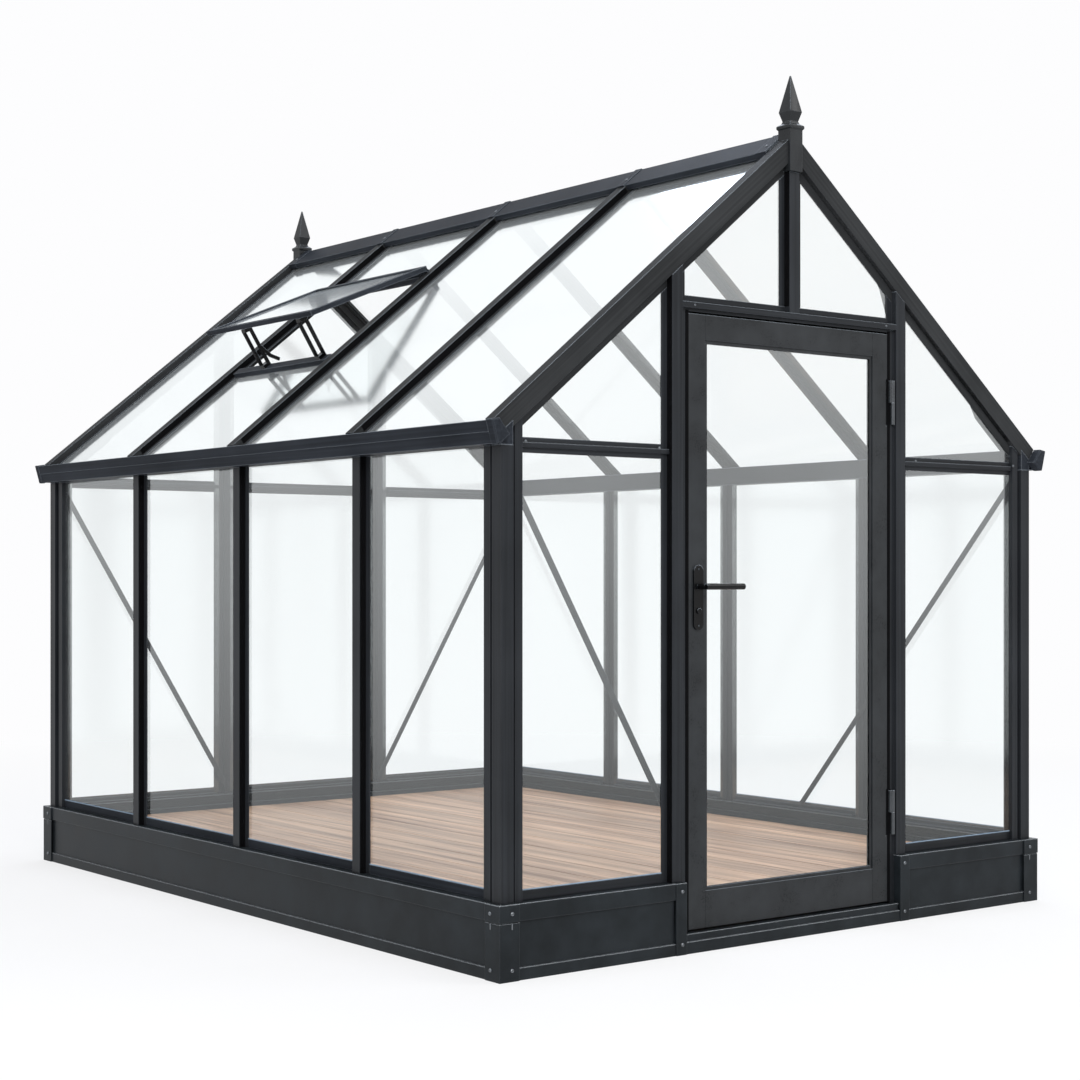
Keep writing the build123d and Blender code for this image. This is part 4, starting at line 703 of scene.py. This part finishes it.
def post_gaskets_and_shade(form):
    """Black gaskets and painted shade on both inner edges of each corner post."""
    for x in (-1, 1):
        for y in (-1, 1):
            gable = (x * WALL_X - x * POST, y * WALL_Y - y * CAP)
            section = GABLE_POST_GASKET_AND_SHADE if x * y > 0 else mirrored(GABLE_POST_GASKET_AND_SHADE)
            strip(form, section, (*gable, PLINTH_TOP), (*gable, EAVE), (0, y, 0))
            flank = (x * WALL_X - x * CAP, y * WALL_Y - y * POST)
            section = mirrored(SIDE_POST_GASKET_AND_SHADE) if x * y > 0 else SIDE_POST_GASKET_AND_SHADE
            strip(form, section, (*flank, PLINTH_TOP), (*flank, EAVE), (x, 0, 0))


def sill_strips(form):
    """Strips on the sills of the side walls, and of the front beside the door."""
    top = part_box("side_sills")[1][2] / MM
    front = SILL_STRIP_DEPTH - WALL_Y
    for side in (-1, 1):
        x = side * (WALL_X - SILL_STRIP_DEPTH)
        for i in range(BAYS):
            near = -WALL_Y + i * BAY + (SIDE_LIP_END if i == 0 else HALF_BAR)
            far = -WALL_Y + (i + 1) * BAY - (SIDE_LIP_END if i == BAYS - 1 else HALF_BAR)
            strip(form, SILL_STRIP, (x, near, top), (x, far, top), (0, 0, 1))
        outer, inner = side * (WALL_X - GABLE_LIP_END), side * (JAMB + HALF_BAR)
        strip(form, SILL_STRIP, (outer, front, top), (inner, front, top), (0, 0, 1))


class GREENHOUSE_OT_gaskets(bpy.types.Operator):
    """Press black rubber gaskets beside the caps of the bars, which are also painted shade there, and a pale
    strip along each sill
    """

    bl_idname = "greenhouse.gaskets"
    bl_label = "Gaskets"

    def execute(self, context):
        finish = context.scene.greenhouse_finish
        black = rubber("black_rubber_and_painted_shade", finish.rubber_colour)
        grey = rubber("grey_sill_strip", finish.strip_colour)
        pieces = (
            ("side_bar_gaskets_and_shade", side_bar_gaskets_and_shade, black),
            ("gable_bar_gaskets_and_shade", gable_bar_gaskets_and_shade, black),
            ("roof_bar_gaskets_and_shade", roof_bar_gaskets_and_shade, black),
            ("post_gaskets_and_shade", post_gaskets_and_shade, black),
            ("sill_strips", sill_strips, grey),
        )
        for name, lay, material in pieces:
            form = bmesh.new()
            lay(form)
            settle(form, name, material)
        return {"FINISHED"}


class GREENHOUSE_OT_deck_edges(bpy.types.Operator):
    """Close the floor against the plinth's long sides with a narrow board each"""

    bl_idname = "greenhouse.deck_edges"
    bl_label = "Deck edges"

    def execute(self, context):
        finish = context.scene.greenhouse_finish
        low, high = (Vector(corner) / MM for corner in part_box("floor_boards"))
        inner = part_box("plinth_right")[0][0] / MM
        near, far = high.x + DECK_GAP, inner - DECK_GAP
        half, thick = (far - near) / 2, high.z - low.z
        flat, shoulder = half - DECK_ARRIS, thick - DECK_ARRIS
        outline = ((-half, 0), (half, 0), (half, shoulder), (flat, thick), (-flat, thick), (-half, shoulder))
        form = bmesh.new()
        for side in (-1, 1):
            x = side * (near + far) / 2
            strip(form, outline, (x, low.y, low.z), (x, high.y, low.z), (0, 0, 1))
        wood = decking("oiled_hardwood_edge_boards", finish.deck_light, finish.deck_dark)
        settle(form, "deck_edge_boards", wood)
        return {"FINISHED"}


class GREENHOUSE_OT_plinth_bolts(bpy.types.Operator):
    """Cover the plinth's corners with angles, collars and tabs, and bolt them and the door posts"""

    bl_idname = "greenhouse.plinth_bolts"
    bl_label = "Plinth bolts"

    def execute(self, context):
        finish = context.scene.greenhouse_finish
        heads = bmesh.new()
        tabs = bmesh.new()
        covers = bmesh.new()
        upper, tab = PLINTH_TOP - BOLT_DROP, PLINTH_TOP - TAB_DROP
        split = PLINTH_TOP - COLLAR
        for x in (-1, 1):
            for y in (-1, 1):
                across, along = x * (PLINTH_X - BOLT_INSET), y * (PLINTH_Y - BOLT_INSET)
                for z, proud in ((upper, COLLAR_PROUD), (BOLT_FOOT, ANGLE_PROUD)):
                    bolt_head(heads, (x * (PLINTH_X + proud), along, z), (x, 0, 0), *BOLT)
                    bolt_head(heads, (across, y * (PLINTH_Y + proud), z), (0, y, 0), *BOLT)
                washer_plate(tabs, (x * (PLINTH_X + ANGLE_PROUD), along, tab), (x, 0, 0), *TAB)
                washer_plate(tabs, (across, y * (PLINTH_Y + ANGLE_PROUD), tab), (0, y, 0), *TAB)
                corner_cover(covers, x, y, ANGLE_PROUD, 0.0, split - COLLAR_GAP)
                corner_cover(covers, x, y, COLLAR_PROUD, split, PLINTH_TOP + COLLAR_RISE)
        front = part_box("plinth_door_posts")[0][1] / MM
        for x in (-1, 1):
            for z in (upper, BOLT_FOOT):
                bolt_head(heads, (x * DOOR_POST_BOLT, front, z), (0, -1, 0), *BOLT)
        steel = powder_coat("blackened_steel_bolts", finish.bolt_colour, roughness=0.22, sheen=1.0)
        settle(heads, "plinth_bolts", steel)
        settle(tabs, "collar_tabs", steel)
        sheet = powder_coat("powder_coated_corner_angles", finish.plinth_colour, **SHEET_COAT)
        soften_piece(settle(covers, "corner_angle_covers", sheet), finish.arris)
        return {"FINISHED"}


class GREENHOUSE_OT_frame_screws(bpy.types.Operator):
    """Screw the transoms, the header and the handle plates"""

    bl_idname = "greenhouse.frame_screws"
    bl_label = "Frame screws"

    def execute(self, context):
        finish = context.scene.greenhouse_finish
        form = bmesh.new()
        low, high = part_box("gable_transoms")
        z = (low[2] + high[2]) / 2 / MM + TRANSOM_SCREW_RISE
        for x in TRANSOM_SCREW_PLACES:
            bolt_head(form, (x, -WALL_Y, z), (0, -1, 0), *TRANSOM_SCREW)
        for x in HEADER_SCREW_PLACES:
            bolt_head(form, (x, -WALL_Y, HEADER_TOP - HEADER_SCREW_DROP), (0, -1, 0), *HEADER_SCREW)
        settle(form, "frame_screws", powder_coat("painted_screw_heads", finish.screw_colour, **SCREW_COAT))
        form = bmesh.new()
        low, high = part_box("handle_plates")
        x, y = (low[0] + high[0]) / 2 / MM, low[1] / MM + HANDLE_PLATE_FACE
        for z in (low[2] / MM + HANDLE_SCREW_INSET, high[2] / MM - HANDLE_SCREW_INSET):
            bolt_head(form, (x, y, z), (0, -1, 0), *HANDLE_SCREW)
        settle(form, "handle_screws", zinc_plate("blackened_screws", finish.screw_colour), "door")
        return {"FINISHED"}


def strap_face(lift, reach):
    """One face of a strap on a slope, from the ridge to its turned edge: reach and depth of each point."""
    return [(-math.tan(PITCH) * lift, -lift), (reach, -lift), (reach, STRAP_TURN)]


class GREENHOUSE_OT_ridge_straps(bpy.types.Operator):
    """Fold straps and end collars over the ridge cap, each with its screws"""

    bl_idname = "greenhouse.ridge_straps"
    bl_label = "Ridge straps"

    def execute(self, context):
        finish = context.scene.greenhouse_finish
        form = bmesh.new()
        heads = bmesh.new()
        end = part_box("ridge_cap")[1][1] / MM
        bars = [-WALL_Y + i * BAY for i in range(1, BAYS)]
        runs = [(bar - STRAP_HALF, bar + STRAP_HALF) for bar in bars]
        runs += [(-end, END_COLLAR - end), (end - END_COLLAR, end)]
        outer, inner = strap_face(*STRAP_OUTER), strap_face(*STRAP_INNER)
        for near, far in runs:
            points = [on_roof(-1, reach, depth, near) for reach, depth in reversed(outer[1:])]
            points += [on_roof(1, reach, depth, near) for reach, depth in (*outer, *reversed(inner))]
            points += [on_roof(-1, reach, depth, near) for reach, depth in inner[1:]]
            draw_out(form, points, (0, far - near, 0))
            for side in (-1, 1):
                place = on_roof(side, STRAP_SCREW_REACH, -STRAP_SCREW_LIFT, (near + far) / 2)
                bolt_head(heads, place, roof_normal(side), *STRAP_SCREW)
        break_arrises(form, form.edges[:], STRAP_ARRIS, segments=1)
        # The straps share the roof's bluish copy of the coat, a painted sky reflection.
        straps = powder_coat("powder_coated_straps", finish.roof_colour_painted_sky, **MATT_COAT, run="along")
        settle(form, "ridge_straps", straps)
        screws = powder_coat("painted_ridge_screws", finish.screw_colour, **SCREW_COAT)
        settle(heads, "ridge_screws", screws)
        return {"FINISHED"}


class GREENHOUSE_OT_door_trim(bpy.types.Operator):
    """Seal the door's pane on both faces, and the leaf against its surround with black seals that are also
    painted shade in its gaps
    """

    bl_idname = "greenhouse.door_trim"
    bl_label = "Door trim"

    def execute(self, context):
        black = rubber("black_door_rubber_and_painted_shade", context.scene.greenhouse_finish.rubber_colour)
        low, high = (Vector(corner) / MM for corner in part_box("door_frame"))
        faces = [corner[1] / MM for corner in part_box("door_glass")]
        left, right = low.x + DOOR_STILE, high.x - DOOR_STILE
        bottom, top = low.z + DOOR_FOOT_RAIL, high.z - DOOR_TOP_RAIL
        form = bmesh.new()
        for y, out in zip(faces, (-1, 1)):
            section = mirrored(PANE_BEAD) if out > 0 else PANE_BEAD
            runs = (
                ((left, y, bottom), (left, y, top)),
                ((right, y, top), (right, y, bottom)),
                ((left, y, top), (right, y, top)),
                ((right, y, bottom), (left, y, bottom)),
            )
            for start, stop in runs:
                strip(form, section, start, stop, (0, out, 0))
        settle(form, "door_pane_gaskets", black, "door")
        form = bmesh.new()
        # Black seals round the leaf: painted shade that widens the dark gaps, as well as rubber.
        seals = (
            (JAMB_SEAL_AND_SHADE, low.y + JAMB_SEAL_SET, high.z + JAMB_SEAL_RISE),
            (FACE_SEAL_AND_SHADE, low.y, high.z + FACE_SEAL_RISE),
        )
        for side in (-1, 1):
            for seal, y, head in seals:
                section = seal if side > 0 else mirrored(seal)
                strip(form, section, (side * SURROUND, y, SEAL_FOOT), (side * SURROUND, y, head), (0, -1, 0))
        reach = SURROUND + HEAD_SEAL_LAP
        y, z = high.y + HEAD_SEAL_SET, high.z - HEAD_SEAL_DROP
        strip(form, HEAD_SEAL_AND_SHADE, (-reach, y, z), (reach, y, z), (0, -1, 0))
        settle(form, "door_seals_and_shade", black)
        return {"FINISHED"}


# ---- stage -----------------------------------------------------------------------------------
def area_light(name, place, target, size, power, colour):
    """Square soft light aimed at a point."""
    data = bpy.data.lights.new(name, "AREA")
    data.shape = "SQUARE"
    data.size = size
    data.energy = power
    data.color = linear(colour)[:3]
    lamp = bpy.data.objects.new(name, data)
    lamp.location = place
    lamp.rotation_euler = (Vector(target) - Vector(place)).to_track_quat("-Z", "Y").to_euler()
    bpy.context.scene.collection.objects.link(lamp)


def seen_ray(tree):
    """1 for a ray that shows the surroundings: from the camera, a reflection or through glass."""
    path = put(tree, "ShaderNodeLightPath").outputs
    outer = {0: path["Is Camera Ray"], 1: path["Is Glossy Ray"]}
    first = put(tree, "ShaderNodeMath", outer, operation="MAXIMUM")
    every = {0: first.outputs[0], 1: path["Is Transmission Ray"]}
    return put(tree, "ShaderNodeMath", every, operation="MAXIMUM").outputs[0]


def make_world(strength):
    """Even white surroundings that light the object more gently than they show."""
    world = bpy.data.worlds.new("studio")
    world.use_nodes = True
    tree = world.node_tree
    tree.nodes.clear()
    level = put(tree, "ShaderNodeMix", {"Factor": seen_ray(tree), "A": strength, "B": 1.0})
    sky = {"Color": linear(STUDIO_WHITE), "Strength": level.outputs["Result"]}
    ground = put(tree, "ShaderNodeBackground", sky)
    put(tree, "ShaderNodeOutputWorld", {"Surface": ground.outputs[0]})
    bpy.context.scene.world = world


def make_floor(name, colour):
    """Pale matt floor that keeps the object's shadow and fades to white away from it."""
    mesh = bpy.data.meshes.new(name)
    form = bmesh.new()
    bmesh.ops.create_grid(form, x_segments=1, y_segments=1, size=FLOOR_REACH)
    form.to_mesh(mesh)
    form.free()
    floor = bpy.data.objects.new(name, mesh)
    bpy.context.scene.collection.objects.link(floor)
    material, tree, place = new_material("matt_floor_paint")
    far = put(tree, "ShaderNodeVectorMath", {0: place}, operation="LENGTH")
    start, end = FLOOR_FADE
    fade = put(
        tree,
        "ShaderNodeMapRange",
        {"Value": far.outputs["Value"], "From Min": start, "From Max": end, "To Min": FLOOR_WHITE},
    )
    lit = {0: fade.outputs["Result"], 1: seen_ray(tree)}
    share = put(tree, "ShaderNodeMath", lit, operation="MULTIPLY")
    matt = put(tree, "ShaderNodeBsdfDiffuse", {"Color": linear(colour)})
    white = put(tree, "ShaderNodeEmission", {"Color": linear(STUDIO_WHITE), "Strength": 1.0})
    both = put(tree, "ShaderNodeMixShader", {0: share.outputs[0], 1: matt.outputs[0], 2: white.outputs[0]})
    put(tree, "ShaderNodeOutputMaterial", {"Surface": both.outputs[0]})
    mesh.materials.append(material)


class GREENHOUSE_OT_stage(bpy.types.Operator):
    """Make the floor, the lights, the surroundings and the camera"""

    bl_idname = "greenhouse.stage"
    bl_label = "Stage"

    def execute(self, context):
        stage = context.scene.greenhouse_stage
        make_world(stage.surround)
        make_floor("studio_floor", stage.floor_colour)
        for light in LIGHTS:
            area_light(*light)
        data = bpy.data.cameras.new("camera")
        data.lens = stage.lens
        data.shift_y = stage.shift
        camera = bpy.data.objects.new("camera", data)
        camera.location = stage.camera_place
        camera.rotation_euler = (math.radians(90), 0, stage.camera_turn)
        bpy.context.scene.collection.objects.link(camera)
        context.scene.camera = camera
        context.scene.view_settings.view_transform = "Standard"
        return {"FINISHED"}


# ---- settings and panel ----------------------------------------------------------------------
class GreenhouseFinish(bpy.types.PropertyGroup):
    """Colours of the finishes, film and dust on the glass, and rounding of arrises"""

    frame_colour: StringProperty(name="Frame", description="Powder coat of the bars", default="#242629")
    door_colour: StringProperty(name="Door", description="Coat of door leaf and finials", default="#26282A")
    # A lighter, bluish copy of the frame's coat: painted sky reflection, and painted light for the lost
    # sheen.
    roof_colour_painted_sky: StringProperty(name="Roof", description="Matt coat of roof and eaves", default="#2A2D32")
    # A lighter copy of the frame's coat: painted light in place of the sheen these bars lack.
    rafter_colour_painted_light: StringProperty(name="Rafters", description="Coat of sloping bars", default="#2F3031")
    plinth_colour: StringProperty(name="Plinth", description="Powder coat of the plinth", default="#1E2225")
    hardware_colour: StringProperty(name="Hardware", description="Handle and openers", default="#070708")
    hinge_colour: StringProperty(name="Hinges", description="Cast hinges", default="#3A3D40")
    screw_colour: StringProperty(name="Screws", description="Painted screw heads", default="#4A4E52")
    rubber_colour: StringProperty(name="Rubber", description="Gaskets and seals", default="#070708")
    strip_colour: StringProperty(name="Strips", description="Strips along the sills", default="#6F7D8B")
    glass_tint: StringProperty(name="Glass", description="Cast of one face of a pane", default="#FEFFFF")
    glass_film: FloatProperty(
        name="Film", description="Share of the surroundings seen on a pane", default=0.15, subtype="FACTOR"
    )
    dust: FloatProperty(
        name="Dust", description="Share of a pane's upper face under dust", default=0.35, subtype="FACTOR"
    )
    arris: FloatProperty(name="Arris", description="Rounding of edges, in millimetres", default=1.5)
    deck_light: StringProperty(name="Boards, light", description="Light grain", default="#E2BA9A")
    deck_dark: StringProperty(name="Boards, dark", description="Dark grain", default="#7E5840")
    steel_colour: StringProperty(name="Steel", description="Hinge pins", default="#C6C8CA")
    bolt_colour: StringProperty(name="Bolts", description="Plinth bolts", default="#54585C")


class GreenhouseStage(bpy.types.PropertyGroup):
    """Camera, floor and surroundings"""

    lens: FloatProperty(name="Lens", description="Focal length", default=66.57, unit="CAMERA")
    shift: FloatProperty(name="Shift", description="Upward shift of the frame", default=0.0315)
    camera_place: FloatVectorProperty(
        name="Camera",
        description="Place of the camera",
        default=(-4.251, -5.688, 1.083),
        subtype="XYZ",
        unit="LENGTH",
    )
    camera_turn: FloatProperty(
        name="Turn", description="Turn of the camera about the vertical", default=-0.658, subtype="ANGLE"
    )
    surround: FloatProperty(name="Surround", description="Light from all round", default=0.55)
    floor_colour: StringProperty(name="Floor", description="Paint of the floor", default="#F2F2F2")


class GREENHOUSE_PT_panel(bpy.types.Panel):
    """Buttons for the greenhouse"""

    bl_idname = "GREENHOUSE_PT_panel"
    bl_label = "Greenhouse"
    bl_space_type = "VIEW_3D"
    bl_region_type = "UI"
    bl_category = "Greenhouse"

    def draw(self, context):
        for operator in OPERATORS:
            self.layout.operator(operator.bl_idname)


OPERATORS = (
    GREENHOUSE_OT_finishes,
    GREENHOUSE_OT_gaskets,
    GREENHOUSE_OT_deck_edges,
    GREENHOUSE_OT_plinth_bolts,
    GREENHOUSE_OT_frame_screws,
    GREENHOUSE_OT_ridge_straps,
    GREENHOUSE_OT_door_trim,
    GREENHOUSE_OT_stage,
)
CLASSES = (GreenhouseFinish, GreenhouseStage, *OPERATORS, GREENHOUSE_PT_panel)


def register():
    for kind in CLASSES:
        bpy.utils.register_class(kind)
    bpy.types.Scene.greenhouse_finish = PointerProperty(type=GreenhouseFinish)
    bpy.types.Scene.greenhouse_stage = PointerProperty(type=GreenhouseStage)


def unregister():
    del bpy.types.Scene.greenhouse_stage
    del bpy.types.Scene.greenhouse_finish
    for kind in reversed(CLASSES):
        bpy.utils.unregister_class(kind)


def main():
    """Register the classes and run the operators."""
    register()
    bpy.ops.greenhouse.finishes()
    bpy.ops.greenhouse.gaskets()
    bpy.ops.greenhouse.deck_edges()
    bpy.ops.greenhouse.plinth_bolts()
    bpy.ops.greenhouse.frame_screws()
    bpy.ops.greenhouse.ridge_straps()
    bpy.ops.greenhouse.door_trim()
    bpy.ops.greenhouse.stage()


if __name__ == "__main__":
    main()
